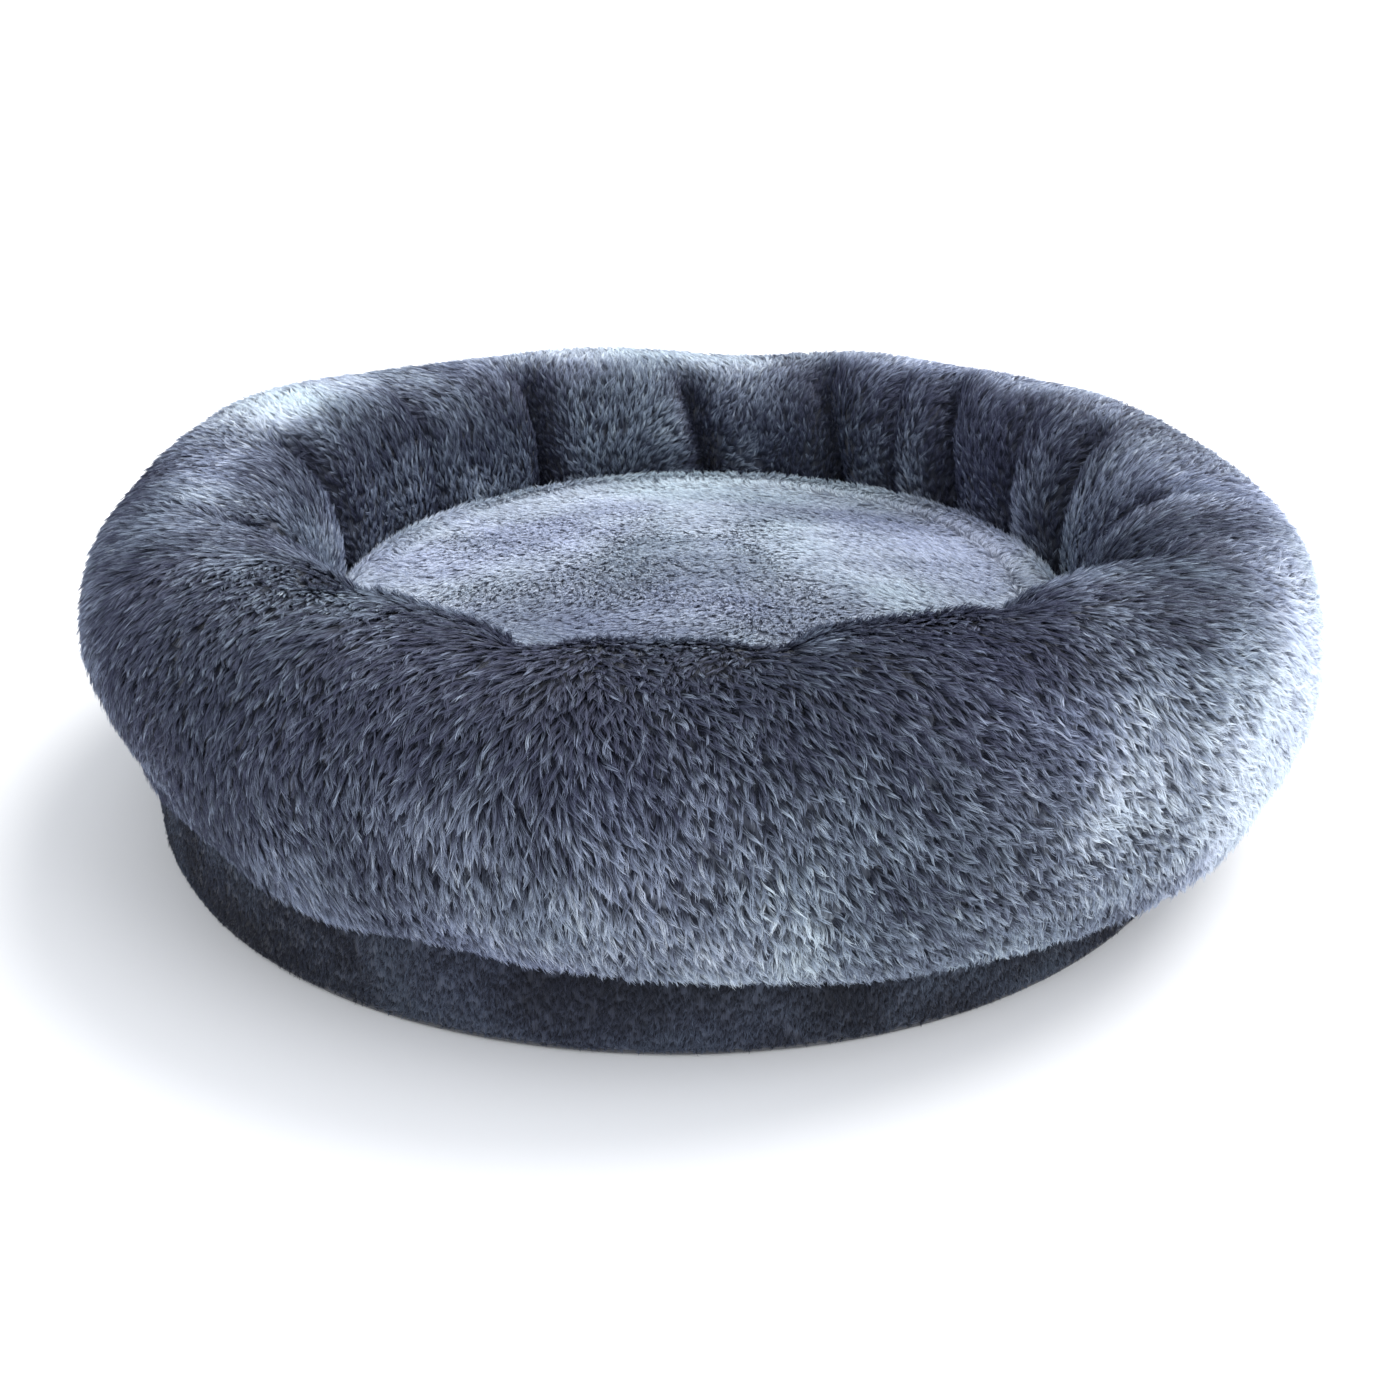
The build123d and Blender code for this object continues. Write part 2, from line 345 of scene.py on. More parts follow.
def near_turn(turn, middle, width):
    """1 at a turn round the section, falling to 0 away from it, with both in degrees."""
    return np.exp(-(((np.degrees(turn) - middle) / width) ** 2))


def turn_step(low, high, turn):
    """A smooth step between two turns round the section, given in degrees."""
    return smooth_step(math.radians(low), math.radians(high), turn)


def sag(place, turn):
    """The heavier, lower belly at the front right, as a share from 0 to 1."""
    return near_place(place, 122, 46) * turn_step(45, -25, turn)


def slack(place, turn):
    """The slacker belly at the left, as a share from 0 to 1."""
    return near_place(place, -110, 30) * near_turn(turn, -24, 32)


def drawn_up(place):
    """Where the bolster's foot is drawn up clear of the band, at the front left, from 0 to 1."""
    return near_place(place, -128, 42)


def base_shift(place):
    """How far the base stands out at the front left, or in at the right, under the sagging belly."""
    return SIDE_LET_OUT * near_place(place, -138, 34) - SIDE_TUCK_IN * near_place(place, 116, 38)


def crown_rise(place):
    """How far the crown stands above its level, or below it, round the bed."""
    around = np.radians(place)
    rise = 1.2 * MM * np.cos(8 * around + 1.8) + 1.0 * MM * np.cos(5 * around - 0.9)
    for middle, width, height in CROWN_SWELLS:
        rise = rise + height * MM * near_place(place, middle, width)
    return rise


def bolster_point(place, turn, inset=SKIN_INSET):
    """Points of the bolster's skin, for places round the bed in degrees and turns in radians."""
    place, turn = np.broadcast_arrays(np.asarray(place, float), np.asarray(turn, float))
    around = np.radians(place)
    across = np.sign(np.cos(turn)) * np.abs(np.cos(turn)) ** SECTION_FULLNESS
    upward = np.sign(np.sin(turn)) * np.abs(np.sin(turn)) ** SECTION_FULLNESS
    ring = np.stack([np.sin(around), np.cos(around), 0.35 * np.sin(turn)], -1)
    lump = layered_noise(ring * 0.3, 0.17, SEED + 5, 2)
    groove, puff = tuck_shares(place, turn)
    swell = 3.2 * MM * lump + PUFF * puff - TUCK_DEPTH * groove - inset
    swell = swell + 4 * MM * sag(place, turn) - 12 * MM * slack(place, turn)
    swell = swell + 8 * MM * near_place(place, -70, 24) * near_turn(turn, 45, 40)
    over_crown = turn_step(20, 90, turn) * turn_step(190, 120, turn)
    radius = tube_radius + (tube_half_width + swell) * across
    at_foot = turn_step(-30, -62, turn)
    spread = FOOT_SPREAD * (1 - 0.9 * drawn_up(place))
    radius = radius + at_foot * (spread + np.maximum(base_shift(place), 0))
    height = tube_height + (tube_half_height + swell) * upward + crown_rise(place) * over_crown
    height = height - 7 * MM * sag(place, turn) + FOOT_LIFT * drawn_up(place) * at_foot
    floor = seat_height + 1.0 * MM + FOOT_LIFT * drawn_up(place)
    height = np.where(height < floor, floor + (height - floor) * 0.08, height)
    return round_axis(around, radius, height)


def bolster_frame(place, turn):
    """Skin points with their outward normals and their unit directions round the bed and over the crown."""
    step_place = 0.15
    step_turn = 0.01
    point = bolster_point(place, turn)
    onward = bolster_point(place + step_place, turn) - bolster_point(place - step_place, turn)
    over = bolster_point(place, turn + step_turn) - bolster_point(place, turn - step_turn)
    onward = unit(onward)
    over = unit(over)
    return point, unit(np.cross(over, onward)), onward, over


def unit(vectors):
    """Each row scaled to length 1."""
    return vectors / np.maximum(np.linalg.norm(vectors, axis=-1, keepdims=True), 1e-12)


def bolster_comb(place, turn, point):
    """Angle by which the pile is brushed away from straight down the belly, in radians."""
    drift = -0.35 - 0.6 * near_place(place, 112, 36) + 0.35 * near_place(place, -120, 40)
    swirl = 0.55 * noise(point, 0.085, SEED + 11) + 0.35 * noise(point, 0.03, SEED + 12)
    crown = turn_step(40, 110, turn)
    return drift * (1 - crown) + swirl * (1 + 0.5 * crown)


# ---------------------------------------------------------------- meshes


def make_mesh(name, points, faces, smooth=True):
    """A mesh object from an array of points and an array of faces of one size."""
    faces = np.asarray(faces)
    mesh = bpy.data.meshes.new(name)
    mesh.vertices.add(len(points))
    mesh.vertices.foreach_set("co", np.asarray(points, np.float32).ravel())
    count, size = faces.shape
    mesh.loops.add(count * size)
    mesh.loops.foreach_set("vertex_index", faces.astype(np.int32).ravel())
    mesh.polygons.add(count)
    mesh.polygons.foreach_set("loop_start", np.arange(0, count * size, size, dtype=np.int32))
    mesh.polygons.foreach_set("use_smooth", np.full(count, smooth))
    mesh.update(calc_edges=True)
    mesh.validate()
    thing = bpy.data.objects.new(name, mesh)
    bpy.context.scene.collection.objects.link(thing)
    return thing


def grid_faces(rows, columns, wrap_rows, wrap_columns, flip=False):
    """Four-sided faces over a grid of points, closed round on itself where asked."""
    row = np.arange(rows if wrap_rows else rows - 1)
    column = np.arange(columns if wrap_columns else columns - 1)
    row, column = np.meshgrid(row, column, indexing="ij")
    next_row = (row + 1) % rows
    next_column = (column + 1) % columns
    corners = [
        row * columns + column,
        next_row * columns + column,
        next_row * columns + next_column,
        row * columns + next_column,
    ]
    if flip:
        corners = corners[::-1]
    return np.stack([corner.ravel() for corner in corners], -1)


def ring_mesh(name, points):
    """A closed ring from points[place, section], where each section is a closed loop."""
    rows, columns, _ = points.shape
    return make_mesh(name, points.reshape(-1, 3), grid_faces(rows, columns, True, True, flip=True))


def shell_mesh(name, front, back, keep=None, closed=False):
    """A cloth shell from two grids of points, its front and its back, with a rim along every edge.

    keep says which cells of the grid there are, and closed joins the last row to the first one.
    """
    rows, columns, _ = front.shape
    cell_rows = rows if closed else rows - 1
    if keep is None:
        keep = np.ones((cell_rows, columns - 1), bool)
    row, column = np.nonzero(keep)
    after = (row + 1) % rows
    corners = np.stack(
        [
            row * columns + column,
            after * columns + column,
            after * columns + column + 1,
            row * columns + column + 1,
        ],
        -1,
    )
    padded_keep = np.zeros((cell_rows + 2, columns + 1), bool)
    padded_keep[1:-1, 1:-1] = keep
    if closed:
        padded_keep[0, 1:-1] = keep[-1]
        padded_keep[-1, 1:-1] = keep[0]
    behind = rows * columns
    faces = [corners, corners[:, ::-1] + behind]
    neighbours = ((1, 0, 0, 1), (2, 1, 1, 2), (1, 2, 2, 3), (0, 1, 3, 0))
    for down, along, start, end in neighbours:
        open_edge = ~padded_keep[row + down, column + along]
        first = corners[open_edge, start]
        second = corners[open_edge, end]
        faces.append(np.stack([second, first, first + behind, second + behind], -1))
    points = np.concatenate([front.reshape(-1, 3), back.reshape(-1, 3)])
    return make_mesh(name, points, np.concatenate(faces))


def disc_grid(count):
    """A square grid pressed into a disc of radius 1: x and y, each count by count."""
    line = np.linspace(-1, 1, count)
    u, v = np.meshgrid(line, line, indexing="ij")
    radius = np.maximum(np.abs(u), np.abs(v))
    safe = np.maximum(radius, 1e-9)
    angle = np.where(np.abs(u) >= np.abs(v), v / safe * np.sign(u), 2 - u / safe * np.sign(v))
    angle = angle * math.pi / 4
    side = np.where(np.abs(u) >= np.abs(v), np.sign(u), np.sign(v))
    side = np.where(radius < 1e-9, 0, side)
    return radius * np.cos(angle) * side, radius * np.sin(angle) * side


def joined(*axes):
    """Separate coordinate arrays as one array of points."""
    return np.stack(np.broadcast_arrays(*axes), -1)


def round_axis(around, radius, height):
    """Points at some angles round the bed's axis, in radians, at a radius and a height."""
    return joined(radius * np.sin(around), radius * np.cos(around), height)


def outward_at(around):
    """The level direction out from the bed's axis at some angles."""
    return joined(np.sin(around), np.cos(around), 0 * around)


def onward_at(around):
    """The level direction round the bed at some angles."""
    return joined(np.cos(around), -np.sin(around), 0 * around)


def all_round(across, others):
    """A grid of places evenly round the bed, in degrees, by some other values."""
    return np.meshgrid(np.arange(across) * 360.0 / across, others, indexing="ij")


def add_point_values(thing, name, values):
    """Stores one number for each corner of a mesh, and 0 for any corners after the last value."""
    attribute = thing.data.attributes.new(name, "FLOAT", "POINT")
    numbers = np.zeros(len(thing.data.vertices), np.float32)
    values = np.asarray(values, np.float32).ravel()
    numbers[: len(values)] = values
    attribute.data.foreach_set("value", numbers)


def add_point_places(thing, name, places):
    """Stores a place on the cloth for each corner of a mesh, in metres, and 0 after the last place."""
    attribute = thing.data.attributes.new(name, "FLOAT_VECTOR", "POINT")
    numbers = np.zeros((len(thing.data.vertices), 3), np.float32)
    places = np.asarray(places, np.float32).reshape(-1, 3)
    numbers[: len(places)] = places
    attribute.data.foreach_set("vector", numbers.ravel())


def add_cloth(thing, cloth):
    """Stores the same places on the cloth for a shell's front and for its back."""
    add_point_places(thing, "cloth", np.concatenate([cloth.reshape(-1, 3)] * 2))


def add_skin_values(thing, frost_and_painted_light, tuft, lie):
    """Stores what the plush material reads: its light patches with their painted light and shade, its tufts and the
    lie of its fibres.
    """
    add_point_values(thing, "frost_and_painted_light", frost_and_painted_light)
    add_point_values(thing, "tuft", tuft)
    add_point_places(thing, "lie", lie)


def finish_piece(thing, body, node, slot, material):
    """Puts a piece on its body, in the place of a CAD node, with its finish."""
    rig.ride(thing, body)
    if node:
        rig.replaces(thing, node)
    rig.slot(thing, slot)
    thing.data.materials.append(material)
    return thing


# ---------------------------------------------------------------- frost and painted light: where the pile shows its tips, and where light and shade are painted on


def patches_at(points, size, seed):
    """Broad brushed patches, from 0, dark, to 1, light."""
    return smooth_step(-0.8, 0.8, layered_noise(points, size, SEED + seed, 3))


def bolster_frost_and_painted_light(place, turn, point):
    """Light and dark patches of the bolster's pile, from 0 to 1: random brushed patches, with painted light and shade
    added.
    """
    patches = patches_at(point, 0.075, 21)
    streaks = layered_noise(point, 0.022, SEED + 25, 2)
    front = near_place(place, 180, 80)
    outside = turn_step(128, 104, turn)
    top = near_turn(turn, 94, 26)
    small_patches = layered_noise(point, 0.038, SEED + 27, 2)
    value = 0.15 + 0.36 * patches + 0.07 * streaks + 0.12 * small_patches
    # painted highlight: lighter on the right side and right front, where the light falls, together with the lie of the
    # pile there
    value = value + 0.72 * near_place(place, 112, 30) * near_turn(turn, 15, 52)
    value = value + 0.20 * near_place(place, 140, 26) * near_turn(turn, 0, 40)
    # painted shade: darker on the left side, turned from the light, and just below the front crown
    value = value - 0.30 * near_place(place, -130, 50) * outside * (1 - top)
    value = value - 0.24 * near_turn(turn, 58, 30) * front
    # painted highlight: lighter at the front of the lower belly
    value = value + 0.22 * turn_step(10, -42, turn) * near_place(place, -178, 48)
    # painted highlight on the top of the crown at the back, the left and the right; painted shade on its top at the
    # front
    value = value + 0.30 * top * near_place(place, 0, 48) + 0.50 * top * near_place(place, -80, 34)
    value = value + 0.14 * top * near_place(place, 66, 30) - 0.36 * top * front
    groove, puff = tuck_shares(place, turn)
    # painted shade: the inner wall darker, a little less on the puffs between tucks and at the back left
    value = value - (0.20 - 0.10 * puff - 0.07 * near_place(place, -45, 30)) * (1 - outside)
    # painted shade in the grooves of the tucks
    return np.clip(value - 1.0 * groove, 0, 1)


# ---------------------------------------------------------------- materials


def new_material(name):
    """An empty node material with its Principled shader, returned as (material, node tree, shader)."""
    material = bpy.data.materials.new(name)
    material.use_nodes = True
    tree = material.node_tree
    shader = tree.nodes["Principled BSDF"]
    return material, tree, shader


def link_or_set(tree, socket, value):
    """Links another node's output to a socket, or sets the socket's own value."""
    if isinstance(value, bpy.types.NodeSocket):
        tree.links.new(value, socket)
    elif socket.type == "RGBA":
        socket.default_value = (*value, 1)
    else:
        socket.default_value = value


def ramp(tree, factor, stops):
    """A colour ramp over factor, with (place, colour) stops."""
    node = tree.nodes.new("ShaderNodeValToRGB")
    elements = node.color_ramp.elements
    elements[0].position, elements[0].color = stops[0][0], (*stops[0][1], 1)
    elements[1].position, elements[1].color = stops[-1][0], (*stops[-1][1], 1)
    for position, colour in stops[1:-1]:
        elements.new(position).color = (*colour, 1)
    tree.links.new(factor, node.inputs["Fac"])
    return node.outputs["Color"]


def mixed(tree, factor, first, second, kind="MIX"):
    """Two colours mixed by a factor."""
    node = tree.nodes.new("ShaderNodeMix")
    node.data_type = "RGBA"
    node.blend_type = kind
    link_or_set(tree, node.inputs[0], factor)
    link_or_set(tree, node.inputs[6], first)
    link_or_set(tree, node.inputs[7], second)
    return node.outputs[2]


def maths(tree, operation, first, second, third=0.0):
    """One arithmetic step on numbers."""
    node = tree.nodes.new("ShaderNodeMath")
    node.operation = operation
    for socket, value in zip(node.inputs, (first, second, third)):
        link_or_set(tree, socket, value)
    return node.outputs[0]


def object_place(tree, stretch=(1, 1, 1)):
    """A piece's own coordinates, scaled along each axis."""
    place = tree.nodes.new("ShaderNodeTexCoord").outputs["Object"]
    mapping = tree.nodes.new("ShaderNodeMapping")
    mapping.inputs["Scale"].default_value = stretch
    tree.links.new(place, mapping.inputs["Vector"])
    return mapping.outputs["Vector"]


def attribute(tree, name, output="Fac"):
    """What a piece stores under a name, as a number or as a vector."""
    node = tree.nodes.new("ShaderNodeAttribute")
    node.attribute_type = "GEOMETRY"
    node.attribute_name = name
    return node.outputs[output]


def noise_over(tree, place, scale, detail=3.0, roughness=0.5):
    """Noise over some coordinates."""
    node = tree.nodes.new("ShaderNodeTexNoise")
    node.inputs["Scale"].default_value = scale
    node.inputs["Detail"].default_value = detail
    node.inputs["Roughness"].default_value = roughness
    tree.links.new(place, node.inputs["Vector"])
    return node.outputs["Fac"]


def bands(tree, place, direction, pitch):
    """Smooth bands of threads across one axis of some coordinates, a pitch apart in metres."""
    node = tree.nodes.new("ShaderNodeTexWave")
    node.bands_direction = direction
    node.inputs["Scale"].default_value = math.pi / (10 * pitch)
    tree.links.new(place, node.inputs["Vector"])
    return node.outputs["Fac"]


def bump(tree, shader, height, distance, strength=1.0):
    """Bump on a shader from a height."""
    node = tree.nodes.new("ShaderNodeBump")
    node.inputs["Distance"].default_value = distance
    node.inputs["Strength"].default_value = strength
    tree.links.new(height, node.inputs["Height"])
    tree.links.new(node.outputs["Normal"], shader.inputs["Normal"])


ROOT_COLOUR = (0.016, 0.019, 0.037)
DARK_COLOUR = (0.060, 0.066, 0.120)
MID_COLOUR = (0.340, 0.400, 0.525)
LIGHT_COLOUR = (0.80, 0.87, 0.96)
# Colours of the skin under the pile: darker copies of the pile's colours, painted shade for the shade that a pile
# casts on itself
SHADED_SKIN_DARK = (0.022, 0.026, 0.044)
SHADED_SKIN_MID = (0.062, 0.072, 0.106)
SHADED_SKIN_LIGHT = (0.360, 0.410, 0.500)
FIBRE_STRETCH = 0.12  # how much finer the fibres are across their lie than along it


def tinted(tree, colour):
    """A colour drifting a little from violet blue to grey green over the piece."""
    drift = noise_over(tree, object_place(tree), 9.0, 3.0)
    tint = ramp(tree, drift, [(0.35, (0.98, 0.97, 1.04)), (0.5, (1, 1, 1)), (0.65, (0.97, 1.01, 0.98))])
    return mixed(tree, 1.0, colour, tint, kind="MULTIPLY")


def plush_skin(name, root, dark, mid, light, lift):
    """Backing and tufts of the plush, under its loose pile, with fine fibres along their lie, and painted shade in the
    hollows between tufts.
    """
    material, tree, shader = new_material(name)
    lie = tree.nodes.new("ShaderNodeMapping")
    lie.inputs["Scale"].default_value = (1, 1, FIBRE_STRETCH)
    tree.links.new(attribute(tree, "lie", "Vector"), lie.inputs["Vector"])
    strands = noise_over(tree, lie.outputs["Vector"], 1500.0, 2.0)
    locks = noise_over(tree, lie.outputs["Vector"], 420.0, 2.0)
    # the frosted patches, with their painted light and shade
    level = maths(tree, "MULTIPLY_ADD", attribute(tree, "frost_and_painted_light"), 0.75, lift)
    # painted shade: darker in the hollows between tufts, where the pile's darker roots also show
    level = maths(tree, "MULTIPLY_ADD", attribute(tree, "tuft"), 0.30, level)
    level = maths(tree, "MULTIPLY_ADD", strands, 0.45, level)
    level = maths(tree, "MULTIPLY_ADD", locks, 0.35, level)
    colour = tinted(tree, ramp(tree, level, [(0.0, root), (0.3, dark), (0.6, mid), (1.0, light)]))
    tree.links.new(colour, shader.inputs["Base Color"])
    roughness = maths(tree, "MULTIPLY_ADD", strands, 0.2, 0.7)
    tree.links.new(roughness, shader.inputs["Roughness"])
    shader.inputs["Sheen Weight"].default_value = 0.15
    shader.inputs["Sheen Roughness"].default_value = 0.5
    bump(tree, shader, maths(tree, "ADD", strands, locks), 1.2 * MM, 0.9)
    return material


def pile_material(name, root, dark, mid, light):
    """Loose pile: dark at the root, and lighter to the tip where it is frosted; the lightness it reads also holds
    painted light and shade.
    """
    material, tree, shader = new_material(name)
    hair = tree.nodes.new("ShaderNodeHairInfo")
    level = maths(tree, "MULTIPLY_ADD", hair.outputs["Random"], 0.24, -0.12)
    level = maths(tree, "ADD", level, attribute(tree, "frost_and_painted_light"))
    tip = ramp(tree, level, [(0.0, dark), (0.45, mid), (1.0, light)])
    rise_stops = [(0.0, (0, 0, 0)), (0.4, (0.13, 0.13, 0.13)), (0.9, (1, 1, 1))]
    rise = ramp(tree, hair.outputs["Intercept"], rise_stops)
    frosted = maths(tree, "POWER", maths(tree, "MAXIMUM", level, 0.0), 2.5)
    rise = maths(tree, "MINIMUM", maths(tree, "ADD", rise, maths(tree, "MULTIPLY", frosted, 0.7)), 1.0)
    colour = tinted(tree, mixed(tree, rise, root, tip))
    tree.links.new(colour, shader.inputs["Base Color"])
    shader.inputs["Roughness"].default_value = 0.6
    shader.inputs["Specular IOR Level"].default_value = 0.3
    return material


def woven_cloth(name, warp, weft, pitch, relief, roughness, sheen=0.1):
    """Plain-woven cloth: crossing threads, faint slubs and a few pale flecks of wear."""
    material, tree, shader = new_material(name)
    place = attribute(tree, "cloth", "Vector")
    across = bands(tree, place, "X", pitch)
    along = bands(tree, place, "Y", pitch)
    weave = maths(tree, "MULTIPLY", across, along)
    slubs = noise_over(tree, place, 300.0, 3.0)
    wear = noise_over(tree, place, 14.0, 5.0, 0.6)
    colour = mixed(tree, maths(tree, "MULTIPLY_ADD", slubs, 0.5, weave), warp, weft)
    worn = maths(tree, "MULTIPLY_ADD", wear, 0.5, -0.12)
    pale = tuple(0.6 * channel + 0.25 for channel in weft)
    tree.links.new(mixed(tree, worn, colour, pale), shader.inputs["Base Color"])
    shine = maths(tree, "MULTIPLY_ADD", slubs, 0.2, roughness - 0.1)
    tree.links.new(shine, shader.inputs["Roughness"])
    shader.inputs["Sheen Weight"].default_value = sheen
    bump(tree, shader, weave, relief, 0.7)
    return material


def grained(name, dark, light, scale, relief, roughness, metal=0.0, detail=4.0):
    """A surface with fine grain: foam, fibre, bag cloth, thread, nylon or plated metal."""
    material, tree, shader = new_material(name)
    place = object_place(tree)
    grain = noise_over(tree, place, scale, detail, 0.6)
    broad = noise_over(tree, place, scale / 12, 3.0)
    level = maths(tree, "MULTIPLY_ADD", broad, 0.6, maths(tree, "MULTIPLY", grain, 0.5))
    tree.links.new(ramp(tree, level, [(0.3, dark), (0.8, light)]), shader.inputs["Base Color"])
    shine = maths(tree, "MULTIPLY_ADD", grain, 0.25, roughness - 0.12)
    tree.links.new(shine, shader.inputs["Roughness"])
    shader.inputs["Metallic"].default_value = metal
    bump(tree, shader, grain, relief, 0.6)
    return material


PLUSH = plush_skin("plush_skin", ROOT_COLOUR, SHADED_SKIN_DARK, SHADED_SKIN_MID, SHADED_SKIN_LIGHT, -0.28)
PILE = pile_material("plush_pile", ROOT_COLOUR, DARK_COLOUR, MID_COLOUR, LIGHT_COLOUR)
SOFT_ROOT = (0.085, 0.099, 0.142)
SOFT_MID = (0.135, 0.155, 0.210)
SOFT_SKIN = plush_skin("cushion_skin", SOFT_ROOT, SOFT_ROOT, SOFT_MID, SHADED_SKIN_LIGHT, -0.34)
SOFT_PILE = pile_material("cushion_pile", SOFT_ROOT, DARK_COLOUR, MID_COLOUR, LIGHT_COLOUR)
# Colours of the base's band: the bolster's plush painted far darker, as shade under the bolster's overhanging belly
SHADED_BAND_ROOT = (0.007, 0.008, 0.015)
SHADED_BAND_DARK = (0.014, 0.017, 0.030)
SHADED_BAND_MID = (0.046, 0.056, 0.088)
SHADED_BAND_LIGHT = (0.12, 0.15, 0.21)
SHADED_SHORT_SKIN = plush_skin("shaded_short_pile_skin", SHADED_BAND_ROOT, SHADED_BAND_DARK, SHADED_BAND_MID, SHADED_BAND_LIGHT, -0.40)
SHADED_SHORT_PILE = pile_material("short_pile", SHADED_BAND_ROOT, SHADED_BAND_DARK, SHADED_BAND_MID, SHADED_BAND_LIGHT)
LINING = woven_cloth("lining_cloth", (0.055, 0.065, 0.095), (0.11, 0.125, 0.17), 0.9 * MM, 0.12 * MM, 0.8)
DOTTED = woven_cloth("dotted_cloth", (0.035, 0.037, 0.045), (0.07, 0.073, 0.085), 0.7 * MM, 0.1 * MM, 0.85)
DOTS = grained("grip_dots", (0.16, 0.16, 0.17), (0.24, 0.24, 0.25), 900.0, 0.05 * MM, 0.5)
FOAM = grained("foam", (0.62, 0.58, 0.46), (0.82, 0.79, 0.68), 700.0, 0.4 * MM, 0.95)
FIBRE = grained("fibre_fill", (0.62, 0.63, 0.65), (0.90, 0.91, 0.92), 260.0, 1.5 * MM, 0.9, detail=6.0)
BAG = woven_cloth("bag_cloth", (0.62, 0.63, 0.64), (0.78, 0.79, 0.80), 1.1 * MM, 0.12 * MM, 0.85)
TAPE = woven_cloth("woven_tape", (0.02, 0.022, 0.03), (0.06, 0.065, 0.08), 1.0 * MM, 0.25 * MM, 0.75)
ZIP_TAPE = woven_cloth("zip_tape", (0.018, 0.021, 0.034), (0.045, 0.052, 0.078), 0.6 * MM, 0.12 * MM, 0.7)
SATIN = woven_cloth("satin_label", (0.58, 0.58, 0.59), (0.72, 0.72, 0.73), 0.35 * MM, 0.03 * MM, 0.45, 0.2)
THREAD = grained("thread", (0.03, 0.035, 0.055), (0.09, 0.10, 0.14), 2500.0, 0.1 * MM, 0.6)
NYLON = grained("nylon", (0.018, 0.021, 0.032), (0.05, 0.056, 0.08), 1200.0, 0.03 * MM, 0.35)
METAL = grained("zip_metal", (0.10, 0.105, 0.12), (0.24, 0.245, 0.26), 500.0, 0.04 * MM, 0.35, metal=1.0)


# ---------------------------------------------------------------- pile

STEPS = np.array([0.0, 0.2, 0.45, 0.72, 1.0])


def make_pile(
    name, parent, material, seed, *, root, normal, comb, lean, length, width, curl, gather, stray, thickness,
    frost_and_painted_light, hairs
):
    """Loose pile as hair curves, which ride on their piece.

    root, normal, comb (the lie in the surface), lean, length and the tips' lightness (frosted patches with painted
    light and shade) have one row for each tuft. The
    rest are single numbers: width is how far a tuft's roots spread, curl how far it sways sideways,
    gather how much its tips close up, and hairs how many it has.
    """
    draw = np.random.default_rng(seed)
    count = len(root)
    side = np.cross(normal, comb)
    lean = lean[:, None] + (1.0 - lean[:, None]) * STEPS[None, :-1] ** 0.6 * 0.85
    heading = normal[:, None, :] * (1 - lean)[..., None] + comb[:, None, :] * lean[..., None]
    heading = unit(heading) * np.diff(STEPS)[None, :, None]
    path = np.concatenate([np.zeros((count, 1, 3)), np.cumsum(heading, 1)], 1)
    path = path * length[:, None, None]

    phase = draw.random(count)[:, None] * 2 * math.pi + STEPS[None, :] * draw.normal(3.5, 1.0, count)[:, None]
    sway = (np.sin(phase) - np.sin(phase[:, :1])) * STEPS[None, :] * curl
    path = path + sway[..., None] * side[:, None, :]

    spread = np.sqrt(draw.random((count, hairs))) * width
    turn = draw.random((count, hairs)) * 2 * math.pi
    offset = (spread * np.cos(turn))[..., None] * side[:, None, :]
    offset = offset + (spread * np.sin(turn))[..., None] * comb[:, None, :]
    reach = 0.7 + 0.4 * draw.random((count, hairs))
    closing = 1 - gather * STEPS**1.3
    points = root[:, None, None, :] + path[:, None, :, :] * reach[..., None, None]
    points = points + offset[:, :, None, :] * closing[None, None, :, None]
    stray = draw.normal(size=(count, hairs, 1, 3)) * stray
    points = points + stray * STEPS[None, None, :, None] ** 1.5
    total = count * hairs

    curves = bpy.data.hair_curves.new(name)
    curves.add_curves([len(STEPS)] * total)
    curves.attributes["position"].data.foreach_set("vector", points.astype(np.float32).ravel())
    taper = thickness * np.array([1.0, 1.0, 0.85, 0.6, 0.2])
    radius = curves.attributes.get("radius") or curves.attributes.new("radius", "FLOAT", "POINT")
    radius.data.foreach_set("value", np.tile(taper, total).astype(np.float32))
    frost_and_painted_light_values = curves.attributes.new("frost_and_painted_light", "FLOAT", "CURVE")
    frost_and_painted_light_values.data.foreach_set("value", np.repeat(frost_and_painted_light, hairs).astype(np.float32))
    curves.materials.append(material)
    thing = bpy.data.objects.new(name, curves)
    bpy.context.scene.collection.objects.link(thing)
    thing.parent = parent
    return thing


def pile_share():
    return 0.5 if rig.quick() else 1.0


# ---------------------------------------------------------------- bolster


def bolster_shell(name, turn_low, turn_high, across, along, depth):
    """A plush panel as a closed shell: its tufted outside, and its plain inside."""
    place, turn = all_round(across, np.linspace(turn_low, turn_high, along))
    skin, normal, _, _ = bolster_frame(place, turn)
    lie = ring_lie(place, turn * tube_half_height, outer_radius)
    tuft = brushed_tufts(lie, 3.6 * MM, 9 * MM, 31)
    edge = smooth_step(turn_low, turn_low + 0.08, turn) * smooth_step(turn_high, turn_high - 0.08, turn)
    outside = skin - normal * ((1 - tuft) * 2.8 * MM * edge)[..., None]
    inner_place, inner_turn = all_round(across, np.linspace(turn_high, turn_low, 6))
    inside = bolster_point(inner_place, inner_turn, SKIN_INSET + depth)
    thing = ring_mesh(name, np.concatenate([outside, inside], 1))
    blank = np.zeros(inner_turn.shape)
    frost_and_painted_light = np.concatenate([bolster_frost_and_painted_light(place, turn, skin), blank], 1)
    add_skin_values(thing, frost_and_painted_light, np.concatenate([tuft, blank], 1), np.concatenate([lie, inside], 1))
    return thing


def ring_lie(place, down, radius):
    """Where a point lies on a ring's cloth, for fibres that run down it."""
    around = np.radians(place)
    return round_axis(around, radius, down)


